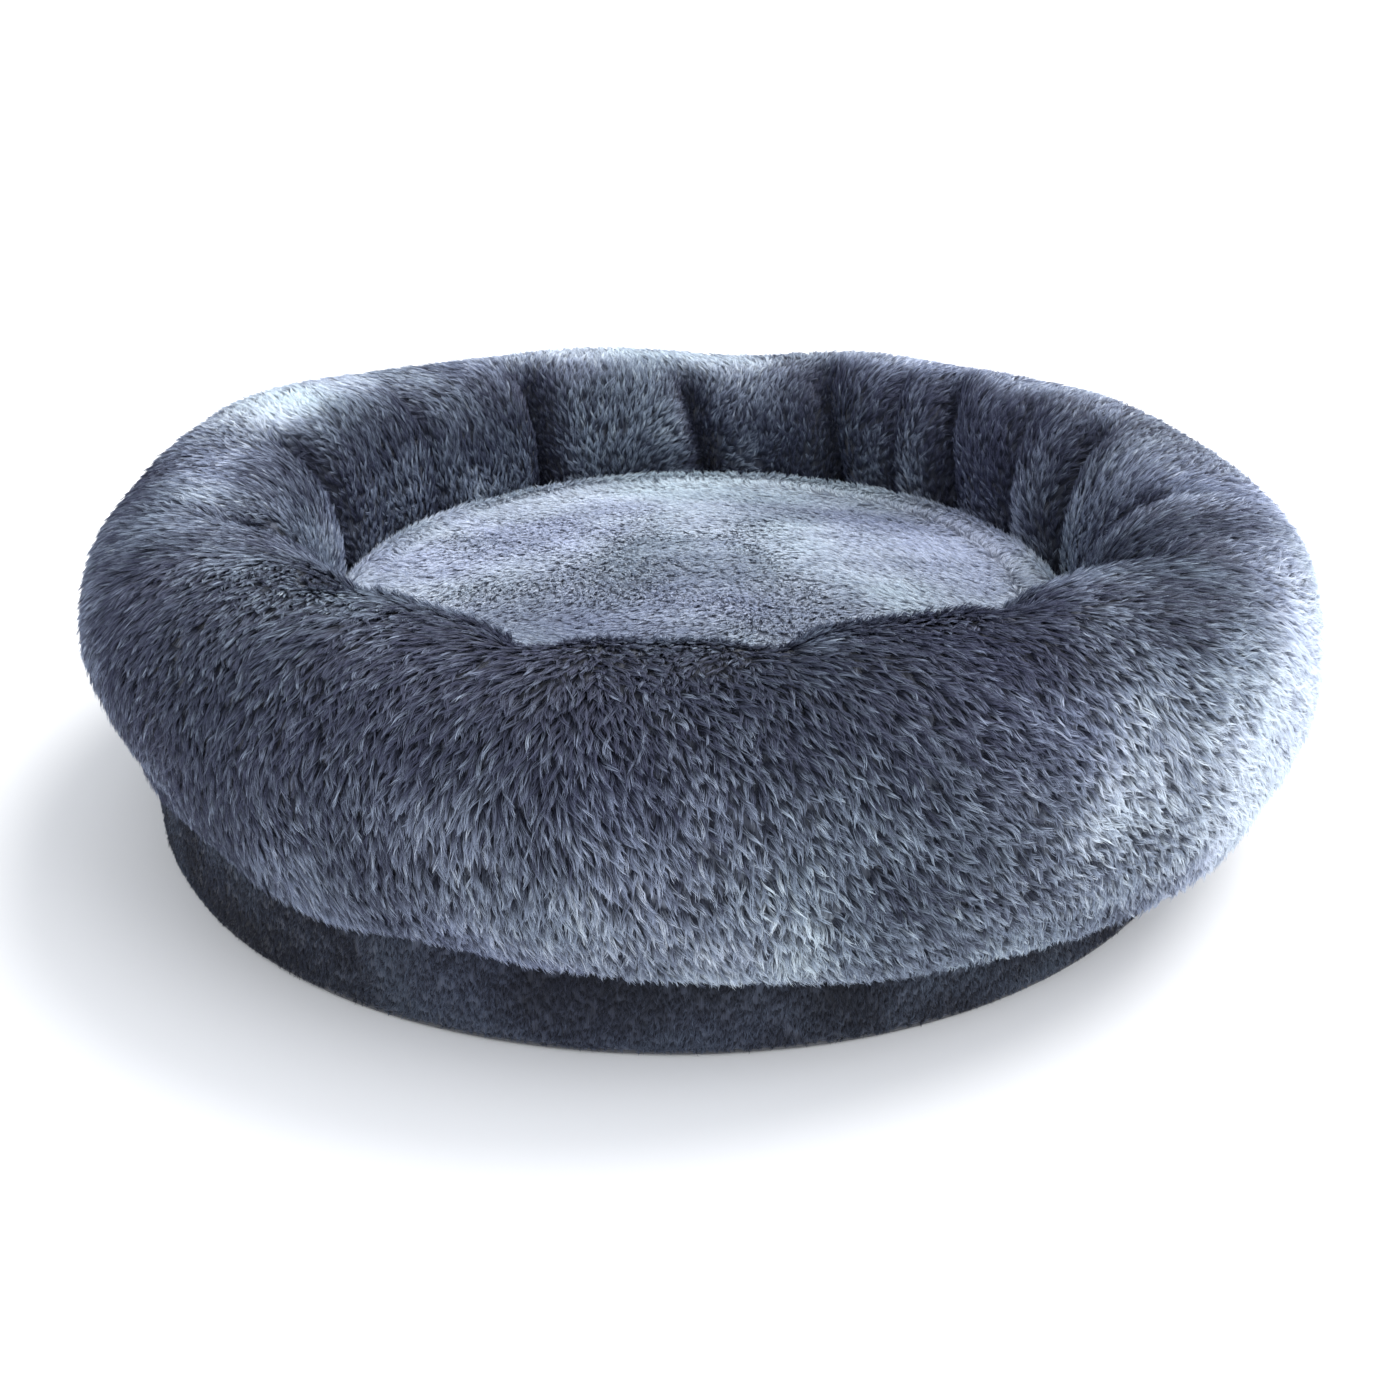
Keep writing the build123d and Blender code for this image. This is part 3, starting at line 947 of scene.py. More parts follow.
def brushed_tufts(lie, width, length, seed):
    """Relief of brushed tufts, from 0 to 1: narrow across the lie of the cloth, and long along it."""
    flat = lie / np.array([width, width, length])
    bend = joined(*(noise(flat * 0.31, 1.0, SEED + seed + step) for step in range(3)))
    flat = flat + 1.1 * bend
    ridge = 1 - np.abs(noise(flat, 1.0, SEED + seed + 3))
    fine = 1 - np.abs(noise(flat * 1.7 + 0.4, 1.0, SEED + seed + 4))
    return 0.6 * ridge + 0.4 * fine


def bolster_pile(parent, turn_low, turn_high, name, seed, gather):
    """The loose pile of one plush panel of the bolster."""
    draw = np.random.default_rng(seed)
    tufts_per_area = 230000 * pile_share()
    area = 2 * math.pi * outer_radius * (turn_high - turn_low) * (tube_half_width + tube_half_height) / 2
    count = int(area * tufts_per_area)
    place = draw.random(count) * 360
    turn = turn_low + draw.random(count) * (turn_high - turn_low)
    keep = draw.random(count) < (tube_radius + tube_half_width * np.cos(turn)) / outer_radius
    place, turn = place[keep], turn[keep]
    count = len(place)
    root, normal, onward, over = bolster_frame(place, turn)
    swing = bolster_comb(place, turn, root) + draw.normal(size=count) * 0.2
    comb = -over * np.cos(swing)[:, None] + onward * np.sin(swing)[:, None]
    groove, _ = tuck_shares(place, turn)
    length = 8.5 + 2.5 * noise(root, 0.05, SEED + 13) + draw.normal(size=count) * 0.8
    at_foot = turn_step(-36, -60, turn)
    crown = near_turn(turn, 94, 34)
    frost_and_painted_light = bolster_frost_and_painted_light(place, turn, root) + draw.normal(size=count) * 0.14
    make_pile(
        name,
        parent,
        PILE,
        seed + 1,
        root=root - normal * 0.5 * MM,
        normal=normal,
        comb=comb,
        lean=np.minimum(0.38 + 0.3 * draw.random(count) + 0.18 * crown, 0.85),
        length=length * (1 - 0.65 * groove) * (1 - (0.2 + 0.2 * drawn_up(place)) * at_foot) * MM,
        width=1.4 * MM,
        curl=1.1 * MM,
        gather=gather,
        stray=0.25 * MM,
        thickness=0.13 * MM,
        frost_and_painted_light=np.clip(frost_and_painted_light, 0, 1),
        hairs=8,
    )


FLAP_TURN = foot_turn + 0.45  # the skin turns this far under the ring, flat on the base


def make_bolster_fibre():
    """The stuffing of the ring, lumpy as its panels are."""
    place, turn = all_round(360, np.linspace(-FLAP_TURN, math.pi + FLAP_TURN, 60))
    points = bolster_point(place, turn, SKIN_INSET + plush_thickness + 0.4 * MM)
    fibre = finish_piece(ring_mesh("bolster_fill", points), "bed", "bolster_fibre", "fibre_fill", FIBRE)
    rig.padded(fibre, fill=0.85)


def make_bolster():
    """Both plush panels of the ring, with their pile, and the stuffing."""
    outer = bolster_shell("bolster_outer", -FLAP_TURN, seam_turn, 1600, 84, plush_thickness)
    inner = bolster_shell("bolster_inner_wall", seam_turn, math.pi + FLAP_TURN, 1200, 78, plush_thickness)
    finish_piece(outer, "bed", "bolster_outer_panel", "plush", PLUSH)
    finish_piece(inner, "bed", "bolster_inner_panel", "plush", PLUSH)
    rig.padded(outer, fill=0.85)
    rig.padded(inner, fill=0.85)
    bolster_pile(outer, -foot_turn, seam_turn, "bolster_outer_pile", SEED + 51, 0.82)
    bolster_pile(inner, seam_turn, math.pi + foot_turn - 0.25, "bolster_inner_pile", SEED + 61, 0.6)
    make_bolster_fibre()


# ---------------------------------------------------------------- base

thread_radius = 0.5 * MM
HIDDEN_EDGE = 2.2 * MM  # the flat cloths end this far inside the band's pile


def base_edge(place, radius):
    """A radius of the base, with the base's uneven outline."""
    return radius + base_shift(place) * radius / base_radius


def base_disc(name, top, underside, count, node, slot, material, radius):
    """A flat cloth disc of the base between two heights, each a function of x and y."""
    x, y = disc_grid(count)
    reach = base_edge(np.degrees(np.arctan2(x, y)), radius)
    x, y = x * reach, y * reach
    front = joined(x, y, top(x, y))
    back = joined(x, y, underside(x, y))
    thing = finish_piece(shell_mesh(name, front, back), "bed", node, slot, material)
    add_point_places(thing, "cloth", np.concatenate([front.reshape(-1, 3), back.reshape(-1, 3)]))
    return thing


def declare_disc_cloth(cloth, **others):
    """Declares a flat cloth of the base as a sheet, cut to a disc and stretched over the pad."""
    size = 2 * base_radius
    area = math.pi * base_radius**2
    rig.sheet(cloth, flat=(size, size), held="stretched", rests_on=["base_pad"], area=area, **others)


def puckers(x, y, size, height, seed):
    """Gentle wrinkles of a flat cloth, never above 0."""
    return height * (np.clip(layered_noise(joined(x, y, 0), size, SEED + seed, 3), -1.5, 1.5) - 1.5) / 3


def make_base_bottom():
    """The non-slip cloth of the underside, with its printed grip dots that meet the floor."""
    low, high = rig.box("base_bottom_cloth")
    gap = 0.8 * MM
    bottom = base_disc(
        "base_bottom",
        lambda x, y: high.z - low.z - 0.2 * MM + 0 * x,
        lambda x, y: gap - puckers(x, y, 0.06, 0.5 * MM, 71),
        150,
        "base_bottom_cloth",
        "dotted_cloth",
        DOTTED,
        base_radius - HIDDEN_EDGE,
    )
    declare_disc_cloth(bottom, with_pieces=[grip_dots(gap + 0.6 * MM)])


def grip_dots(height):
    """Small rubber domes in staggered rows over the underside."""
    spacing = 13 * MM
    row_gap = spacing * 0.866
    radius = 2.2 * MM
    sides = 12
    reach = base_radius - 2 * spacing
    rows = int(reach / row_gap)
    middles = []
    for row in range(-rows, rows + 1):
        for column in range(-rows - 5, rows + 6):
            x = (column + 0.5 * (row % 2)) * spacing
            y = row * spacing * 0.866
            if math.hypot(x, y) < reach:
                middles.append((x, y, 0))
    dome = []
    for wide, high in ((1.0, 1.0), (0.85, 0.45), (0.5, 0.1), (0.15, 0.0)):
        for angle in np.arange(sides) * math.pi / 6:
            dome.append((radius * wide * math.cos(angle), radius * wide * math.sin(angle), height * high))
    points = np.array(middles)[:, None, :] + np.array(dome)[None, :, :]
    dots = ring_stacks("grip_dots", points, len(middles), len(dome) // sides, sides)
    return finish_piece(dots, "bed", None, "dotted_cloth", DOTS)


def close_rings(thing, copies, stride, first_ring, last_ring):
    """Closes the open rings at both ends of each copy in a mesh with one flat face each."""
    mesh = bmesh.new()
    mesh.from_mesh(thing.data)
    mesh.verts.ensure_lookup_table()
    for copy in range(copies):
        for ring in (first_ring, last_ring[::-1]):
            mesh.faces.new([mesh.verts[copy * stride + corner] for corner in ring])
    bmesh.ops.recalc_face_normals(mesh, faces=mesh.faces)
    mesh.to_mesh(thing.data)
    mesh.free()


def ring_stacks(name, points, copies, rows, sides):
    """Copies of a stack of rings as one mesh, each with both its ends closed."""
    stride = rows * sides
    faces = grid_faces(rows, sides, False, True)
    faces = (np.arange(copies)[:, None, None] * stride + faces[None]).reshape(-1, 4)
    thing = make_mesh(name, points.reshape(-1, 3), faces)
    first_ring = np.arange(sides)
    close_rings(thing, copies, stride, first_ring, first_ring + stride - sides)
    return thing


TUBE_SIDES = 6


def tube_points(middle, heading, upward, radius):
    """The corners of a thin tube round a path of points."""
    sideways = np.cross(heading, upward)
    angles = np.arange(TUBE_SIDES) * math.pi / 3
    ring = np.cos(angles)[:, None] * upward[..., None, :] + np.sin(angles)[:, None] * sideways[..., None, :]
    return middle[..., None, :] + ring * radius


def drop_loose_corners(thing):
    """Takes away a mesh's corners that no face uses."""
    mesh = bmesh.new()
    mesh.from_mesh(thing.data)
    loose = [corner for corner in mesh.verts if not corner.link_faces]
    bmesh.ops.delete(mesh, geom=loose, context="VERTS")
    mesh.to_mesh(thing.data)
    mesh.free()


def make_base_top():
    """The cloth over the pad: the nest's floor, slightly drawn up in wrinkles."""
    low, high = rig.box("base_top_cloth")
    top = base_disc(
        "base_top",
        lambda x, y: high.z - 0.1 * MM + puckers(x, y, 0.05, 0.8 * MM, 73),
        lambda x, y: low.z + 0.1 * MM + 0 * x,
        200,
        "base_top_cloth",
        "lining_cloth",
        LINING,
        base_radius - HIDDEN_EDGE,
    )
    declare_disc_cloth(top)


def make_base_pad():
    """The foam pad of the base."""
    low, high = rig.box("base_pad")
    pad = base_disc(
        "base_foam",
        lambda x, y: high.z - 0.1 * MM + puckers(x, y, 0.03, 0.4 * MM, 75),
        lambda x, y: low.z + 0.1 * MM + 0 * x,
        120,
        "base_pad",
        "foam",
        FOAM,
        pad_radius - 0.5 * MM,
    )
    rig.padded(pad, fill=0.95)


zip_upper_low, zip_upper_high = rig.box("zip_tape_upper")
zip_lower_low, zip_lower_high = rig.box("zip_tape_lower")
zip_line = (zip_upper_low.z + zip_lower_high.z) / 2
zip_half_angle = math.degrees(math.asin(zip_upper_high.x / node_radii("zip_tape_upper")[1]))
tape_face = node_radii("zip_tape_upper")[1]


def skirt_point(place, height, depth=0.0):
    """Points on the skirt's face: a soft upright band, fuller at its middle, with slight wrinkles."""
    share = (height - skirt_low.z) / (skirt_high.z - skirt_low.z)
    around = np.radians(place)
    ring = round_axis(around, base_radius, height * 0.5)
    wrinkle = layered_noise(ring, 0.045, SEED + 81, 3) * (1 - near_place(place, 0, 42))
    full = np.sin(math.pi * np.clip(share, 0, 1)) ** 0.6
    radius = base_edge(place, base_radius) - 2.2 * MM + full * (1.2 * MM + 0.9 * MM * wrinkle) - depth
    height = height + FOOT_LIFT * drawn_up(place) * smooth_step(0, 1, share)
    return round_axis(around, radius, height)


def band_patches(points):
    """Light and dark patches of the band's pile."""
    return 0.1 + 0.6 * patches_at(points, 0.05, 87)


def make_skirt():
    """The short-piled band round the base, painted dark as shade under the bolster, with the zip's window at the back.
    """
    across = 720
    places = np.arange(across) * 360.0 / across
    window = [zip_upper_high.z, zip_lower_low.z]
    heights = np.concatenate(
        [
            np.linspace(skirt_high.z, window[0], 10),
            np.linspace(window[0], window[1], 9)[1:-1],
            np.linspace(window[1], skirt_low.z, 11),
        ]
    )
    place, height = np.meshgrid(places, heights, indexing="ij")
    front = skirt_point(place, height)
    lie = ring_lie(place, height, base_radius)
    tuft = brushed_tufts(lie, 3.4 * MM, 7 * MM, 85)
    outward = unit(front * np.array([1.0, 1.0, 0.0]))
    front = front - outward * ((1 - tuft) * 0.8 * MM)[..., None]
    back = skirt_point(place, height, depth=3.2 * MM)
    middles = (heights[:-1] + heights[1:]) / 2
    in_window = (middles < window[0]) & (middles > window[1])
    at_zip = np.abs(angle_between(places + 180.0 / across, 0)) < zip_half_angle
    keep = ~(at_zip[:, None] & in_window[None, :])
    thing = shell_mesh("base_band", front, back, keep, closed=True)
    finish_piece(thing, "bed", "base_skirt", "short_pile", SHADED_SHORT_SKIN)
    add_skin_values(thing, band_patches(front), tuft, lie)
    drop_loose_corners(thing)
    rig.sheet(
        thing,
        flat=(2 * math.pi * base_radius, skirt_high.z - skirt_low.z),
        held="stretched",
        rests_on=["base_pad"],
    )
    skirt_pile(thing)


def skirt_pile(parent):
    """The short pile of the band, brushed down."""
    draw = np.random.default_rng(SEED + 91)
    tall = skirt_high.z - skirt_low.z
    count = int(2 * math.pi * base_radius * tall * 500000 * pile_share())
    place = draw.random(count) * 360
    height = skirt_low.z + draw.random(count) * tall
    in_window = (np.abs(angle_between(place, 0)) < zip_half_angle + 0.3) & (
        np.abs(height - zip_line) < (zip_upper_high.z - zip_lower_low.z) / 2 + 0.5 * MM
    )
    place, height = place[~in_window], height[~in_window]
    count = len(place)
    root = skirt_point(place, height)
    around = np.radians(place)
    normal = outward_at(around)
    onward = onward_at(around)
    swing = 0.5 * noise(root, 0.05, SEED + 93) + 0.3 * draw.normal(size=count)
    comb = np.array([0, 0, -1.0]) * np.cos(swing)[:, None] + onward * np.sin(swing)[:, None]
    above_foot = smooth_step(skirt_low.z, skirt_low.z + 8 * MM, height)
    patches = band_patches(root) + 0.1 * draw.normal(size=count)
    make_pile(
        "base_band_pile",
        parent,
        SHADED_SHORT_PILE,
        SEED + 94,
        root=root,
        normal=normal,
        comb=comb,
        lean=0.4 + 0.3 * draw.random(count),
        length=(3.2 + 0.5 * draw.normal(size=count)) * (0.4 + 0.6 * above_foot) * MM,
        width=0.8 * MM,
        curl=0.3 * MM,
        gather=0.5,
        stray=0.3 * MM,
        thickness=0.12 * MM,
        frost_and_painted_light=np.clip(patches, 0, 1),
        hairs=4,
    )


# ---------------------------------------------------------------- seams, tape and label


def stitch_row(name, path, length, gap, radius, node):
    """A row of lockstitches along a path of points, sunk a little at each end."""
    span = np.linalg.norm(np.diff(path, axis=0), axis=1)
    travelled = np.concatenate([[0], np.cumsum(span)])
    count = int(travelled[-1] / (length + gap))
    starts = np.arange(count) * travelled[-1] / count
    shares = np.array([0.0, 0.12, 0.5, 0.88, 1.0])
    sizes = np.array([0.35, 0.85, 1.0, 0.85, 0.35])
    along = starts[:, None] + shares[None, :] * length
    middle = joined(*(np.interp(along, travelled, path[:, axis]) for axis in range(3)))
    heading = unit(np.diff(middle, axis=1))
    heading = np.concatenate([heading, heading[:, -1:]], 1)
    upward = unit(np.cross(heading, np.cross(np.array([0.0, 0.0, 1.0]), heading)) + 1e-9)
    points = tube_points(middle, heading, upward, (radius * sizes)[None, :, None, None])
    row = ring_stacks(name, points, count, len(shares), TUBE_SIDES)
    return finish_piece(row, "bed", node, "thread", THREAD)


def ring_path(radius, height, first=0.0, last=360.0, count=1440):
    """Points round the base's edge at a height, between two places in degrees."""
    place = np.linspace(first, last, count)
    reach = base_edge(place, radius)
    around = np.radians(place)
    share = (height - skirt_low.z) / (skirt_high.z - skirt_low.z)
    lifted = height + FOOT_LIFT * drawn_up(place) * smooth_step(0, 1, share)
    return round_axis(around, reach, lifted)


def make_seams():
    """The stitched seams under the bolster and at the foot of the base, and those beside the zip."""
    low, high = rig.box("undercut_seam_thread")
    radius = base_radius - HIDDEN_EDGE
    path = ring_path(radius - 1.2 * MM, (low.z + high.z) / 2)
    stitch_row("undercut_stitches", path, 3.6 * MM, 1.2 * MM, thread_radius, "undercut_seam_thread")
    low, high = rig.box("base_seam_thread")
    path = ring_path(radius, (low.z + high.z) / 2)
    stitch_row("foot_stitches", path, 3.4 * MM, 1.2 * MM, 0.8 * thread_radius, "base_seam_thread")
    for name, height in (
        ("zip_stitches_upper", zip_upper_high.z - 1.6 * MM),
        ("zip_stitches_lower", zip_lower_low.z + 1.6 * MM),
    ):
        path = ring_path(tape_face + 0.1 * MM, height, 1 - zip_half_angle, zip_half_angle - 1, 300)
        stitch_row(name, path, 2.6 * MM, 0.9 * MM, 0.28 * MM, None)


def strip_shell(name, inner_face, outer_face, top, bottom, first, last, across, along, wave):
    """An upright strip of cloth on a cylinder, from one place to another, with a wavy face."""
    places = np.linspace(first, last, across)
    heights = np.linspace(top, bottom, along)
    place, height = np.meshgrid(places, heights, indexing="ij")
    around = np.radians(place)
    outward = outward_at(around)
    lift = np.array([0.0, 0.0, 1.0]) * height[..., None]
    front = outward * (outer_face + wave(place, height))[..., None] + lift
    back = outward * (inner_face + wave(place, height))[..., None] + lift
    thing = shell_mesh(name, front, back)
    cloth = joined(around * outer_face, height, 0 * height)
    add_cloth(thing, cloth)
    return thing


def make_gathering_tape():
    """The narrow tape that holds the foot of the gathered wall, with its ends butted together."""
    low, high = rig.box("gathering_tape")
    inner, outer = node_radii("gathering_tape")
    places = np.linspace(0.4, 359.6, 900)
    radii = np.linspace(outer, inner, 9)
    place, radius = np.meshgrid(places, radii, indexing="ij")
    around = np.radians(place)
    ripple = 0.25 * MM * np.sin(around * 60) * np.sin((radius - inner) / (outer - inner) * math.pi)
    x, y = radius * np.sin(around), radius * np.cos(around)
    front = joined(x, y, high.z - 0.3 * MM + ripple)
    back = joined(x, y, low.z + 0.1 * MM)
    thing = shell_mesh("gathering_band", front, back)
    cloth = joined(around * outer, radius, 0 * radius)
    add_cloth(thing, cloth)
    finish_piece(thing, "bed", "gathering_tape", "woven_tape", TAPE)


def make_label():
    """The blank folded care label sewn into the seam under the bolster, curling off the skirt."""
    low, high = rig.box("care_label")
    inner, outer = node_radii("care_label")
    points = node_points("care_label")
    places = np.degrees(np.arctan2(points[:, 0], points[:, 1]))
    tall = high.z - low.z

    def curl(place, height):
        share = (high.z - height) / tall
        across = (place - places.min()) / (places.max() - places.min())
        return 1.3 * MM * share**1.5 + 1.6 * MM * share * (across - 0.35) ** 2 * 2

    ends = (places.min(), places.max())
    thing = strip_shell("care_tag", inner, outer, high.z, low.z, *ends, 40, 30, curl)
    finish_piece(thing, "bed", "care_label", "satin_label", SATIN)
    width = math.radians(places.max() - places.min()) * outer
    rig.sheet(thing, flat=(width, tall), held="hung", rests_on=["base_band"])


# ---------------------------------------------------------------- zip


def make_zip():
    """The zip's two woven tapes and its two rows of nylon coils."""

    def ribbed(_, height):
        return 0.15 * MM * np.sin(height / MM * 1.3)

    for name, node in (("zip_tape_top", "zip_tape_upper"), ("zip_tape_bottom", "zip_tape_lower")):
        low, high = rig.box(node)
        back = pad_radius + 0.1 * MM
        ends = (-zip_half_angle, zip_half_angle)
        thing = strip_shell(name, back, tape_face, high.z, low.z, *ends, 400, 12, ribbed)
        finish_piece(thing, "bed", node, "zip_tape", ZIP_TAPE)
    make_coils()


def make_coils():
    """Both rows of the zip's teeth: one nylon wire each, wound in flat loops that mesh at the middle."""
    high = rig.box("zip_coils")[1]
    inner, outer = node_radii("zip_coils")
    half_angle = math.asin(high.x / outer)
    wire = 0.32 * MM
    pitch = 1.5 * MM
    turns = int(2 * half_angle * outer / pitch)
    steps = 14
    share = np.linspace(0, 1, turns * steps + 1)
    swing = 2 * math.pi * turns * share
    deep = (outer - inner) / 2 - wire
    tall = (high.z - zip_line) / 2 - wire
    rows = []
    for side in (1, -1):
        around = (2 * share - 1) * half_angle + (0.5 * pitch / outer if side < 0 else 0)
        radius = (inner + outer) / 2 + deep * np.cos(swing)
        height = zip_line + side * ((high.z - zip_line) / 2 + 0.05 * MM) - side * tall * np.sin(swing)
        middle = round_axis(around, radius, height)
        heading = unit(np.gradient(middle, axis=0))
        outward = unit(np.cross(heading, onward_at(around)))
        rows.append(tube_points(middle, heading, outward, wire))
    coils = ring_stacks("zip_teeth", np.stack(rows), 2, len(share), TUBE_SIDES)
    finish_piece(coils, "bed", "zip_coils", "nylon", NYLON)


def finish_metal():
    """The plated finish of the zip's slider, pull and stops, whose CAD shapes stay."""
    for node in ("zip_slider", "zip_pull", "zip_stops"):
        mesh = frame["nodes"][node].data
        mesh.materials.clear()
        mesh.materials.append(METAL)


# ---------------------------------------------------------------- cushion

CUSHION_INSET = 2.5 * MM
# Darker patches: middle across and to the back, half sizes, all in panel radii, and strength. The three towards the
# front are painted shadow of the bolster's front crown; the others are brushed patches
CUSHION_MARKS = (
    (0.52, 0.60, 0.38, 0.17, 0.24),
    (-0.36, -0.38, 0.32, 0.20, 0.22),
    (0.36, -0.34, 0.22, 0.16, 0.14),
    (0.05, -0.64, 0.9, 0.22, 0.12),
    (-0.62, 0.30, 0.22, 0.3, 0.08),
)


def cushion_height(x, y):
    """Height of the cushion's top skin: a low crown with soft hollows and a furrow inside the edge roll."""
    radius = np.hypot(x, y)
    share = np.clip(radius / panel_radius, 0, 1)
    crown = cushion_crown - (cushion_crown - panel_edge_height) * share**2.2
    soft = layered_noise(joined(x, y, 0), 0.12, SEED + 101, 2) * (1 - share**4)
    near_edge = smooth_step(panel_radius - 20 * MM, panel_radius, radius)
    furrow = smooth_step(panel_radius - 12 * MM, panel_radius - 2 * MM, radius)
    furrow_depth = 0.6 + 2.6 * near_place(np.degrees(np.arctan2(x, y)), -80, 48)
    return crown - CUSHION_INSET + (2.0 * soft + 4.0 * near_edge - furrow_depth * furrow) * MM


def cushion_frost_and_painted_light(x, y):
    """Light and dark patches of the cushion's pile, from 0 to 1: brushed patches, with painted light towards the back
    and painted shadow of the bolster's front crown near the front.
    """
    place = joined(x, y, 0)
    patches = patches_at(place * np.array([1.0, 1.6, 1.0]), 0.07, 103)
    streaks = layered_noise(place * np.array([0.6, 1.6, 1.0]), 0.02, SEED + 104, 3)
    # painted light: lighter towards the back
    value = 0.69 + 0.07 * patches + 0.06 * streaks + 0.08 * y / panel_radius
    # darker marks; those near the front are painted shadow of the bolster's front crown
    for across, back, long, deep, strength in CUSHION_MARKS:
        away = ((x / panel_radius - across) / long) ** 2 + ((y / panel_radius - back) / deep) ** 2
        value = value - strength * np.exp(-away)
    return np.clip(value, 0, 1)


def make_cushion_top():
    """The plush face of the loose cushion."""
    x, y = disc_grid(300)
    x, y = x * panel_radius, y * panel_radius
    flat = joined(x, 0, y)
    lie = flat + 12 * MM * joined(noise(flat, 0.05, SEED + 105), 0, noise(flat, 0.05, SEED + 106))
    tuft = brushed_tufts(lie, 2.8 * MM, 6 * MM, 107)
    front = joined(x, y, cushion_height(x, y) - 1.4 * MM * (1 - tuft))
    back = joined(x, y, cushion_height(x, y) - 0.5 * plush_thickness)
    thing = shell_mesh("cushion_top", front, back)
    finish_piece(thing, "cushion", "cushion_top_panel", "plush", SOFT_SKIN)
    add_skin_values(thing, cushion_frost_and_painted_light(x, y), tuft, lie)
    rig.padded(thing, fill=0.7)
    cushion_pile(thing)


def cushion_pile(parent):
    """The finer, shorter pile of the cushion's face."""
    draw = np.random.default_rng(SEED + 111)
    count = int(math.pi * panel_radius**2 * 420000 * pile_share())
    radius = panel_radius * np.sqrt(draw.random(count))
    around = draw.random(count) * 2 * math.pi
    x, y = radius * np.sin(around), radius * np.cos(around)
    step = 0.5 * MM
    slope_x = (cushion_height(x + step, y) - cushion_height(x - step, y)) / (2 * step)
    slope_y = (cushion_height(x, y + step) - cushion_height(x, y - step)) / (2 * step)
    normal = unit(joined(-slope_x, -slope_y, np.ones(count)))
    root = joined(x, y, cushion_height(x, y))
    swing = -2.2 + 1.3 * noise(root, 0.10, SEED + 113) + 0.5 * noise(root, 0.03, SEED + 115)
    swing = swing + 0.25 * draw.normal(size=count)
    comb = joined(np.cos(swing), np.sin(swing), 0 * swing)
    at_edge = smooth_step(panel_radius - 12 * MM, panel_radius - 2 * MM, radius)
    comb = comb + 2.5 * at_edge[:, None] * outward_at(around)
    comb = unit(comb - normal * np.sum(comb * normal, -1, keepdims=True))
    frost_and_painted_light = cushion_frost_and_painted_light(x, y) + 0.07 * draw.normal(size=count)
    make_pile(
        "cushion_top_pile",
        parent,
        SOFT_PILE,
        SEED + 118,
        root=root,
        normal=normal,
        comb=comb,
        lean=0.4 + 0.25 * draw.random(count),
        length=(5.5 + 0.8 * noise(root, 0.03, SEED + 117) + 0.5 * draw.normal(size=count)) * MM,
        width=1.1 * MM,
        curl=0.5 * MM,
        gather=0.5,
        stray=0.3 * MM,
        thickness=0.12 * MM,
        frost_and_painted_light=np.clip(frost_and_painted_light, 0, 1),
        hairs=6,
    )


def roll_point(place, turn, inset):
    """Points of the cushion's edge roll, slightly uneven as it is stuffed."""
    around = np.radians(place)
    ring = joined(np.sin(around), np.cos(around), 0 * turn + 0 * around) * cushion_radius
    uneven = 0.8 * MM * layered_noise(ring, 0.05, SEED + 121, 2)
    size = roll_radius - inset + uneven
    radius = roll_middle[0] + size * np.cos(turn) - np.maximum(uneven, 0)
    height = roll_middle[1] + size * np.sin(turn)
    return round_axis(around, radius, height)


def make_cushion_roll():
    """The stuffed plush roll round the cushion's edge."""
    place, turn = all_round(900, np.arange(40) * 2 * math.pi / 40)
    lie = roll_point(place, turn, 0)
    tuft = brushed_tufts(lie, 3.2 * MM, 5 * MM, 123)
    points = roll_point(place, turn, 1.6 * MM + 1.2 * MM * (1 - tuft))
    thing = ring_mesh("cushion_roll", points)
    finish_piece(thing, "cushion", "cushion_edge_roll", "plush", SOFT_SKIN)
    add_skin_values(thing, cushion_frost_and_painted_light(points[..., 0], points[..., 1]), tuft, lie)
    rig.padded(thing, fill=0.8)
    roll_pile(thing)


def roll_pile(parent):
    """The short pile of the edge roll."""
    draw = np.random.default_rng(SEED + 131)
    count = int(2 * math.pi * cushion_radius * 2 * math.pi * roll_radius * 300000 * pile_share())
    place = draw.random(count) * 360
    turn = draw.random(count) * 2 * math.pi
    root = roll_point(place, turn, 1.6 * MM)
    around = np.radians(place)
    outward = outward_at(around)
    normal = outward * np.cos(turn)[:, None] + np.array([0, 0, 1.0]) * np.sin(turn)[:, None]
    onward = onward_at(around)
    over = np.cross(onward, normal)
    swing = 1.2 * noise(root, 0.05, SEED + 133) + 0.3 * draw.normal(size=count)
    comb = over * np.cos(swing)[:, None] + onward * np.sin(swing)[:, None]
    # painted light: the roll's pile a little lighter than the face, to lift the shade at the cushion's edge
    frost_and_painted_light = cushion_frost_and_painted_light(root[:, 0], root[:, 1]) + 0.06 + 0.07 * draw.normal(size=count)
    make_pile(
        "cushion_roll_pile",
        parent,
        SOFT_PILE,
        SEED + 134,
        root=root,
        normal=normal,
        comb=comb,
        lean=0.2 + 0.3 * draw.random(count),
        length=(5.0 + 0.6 * draw.normal(size=count)) * MM,
        width=1.1 * MM,
        curl=0.6 * MM,
        gather=0.7,
        stray=0.3 * MM,
        thickness=0.12 * MM,
        frost_and_painted_light=np.clip(frost_and_painted_light, 0, 1),
        hairs=5,
    )


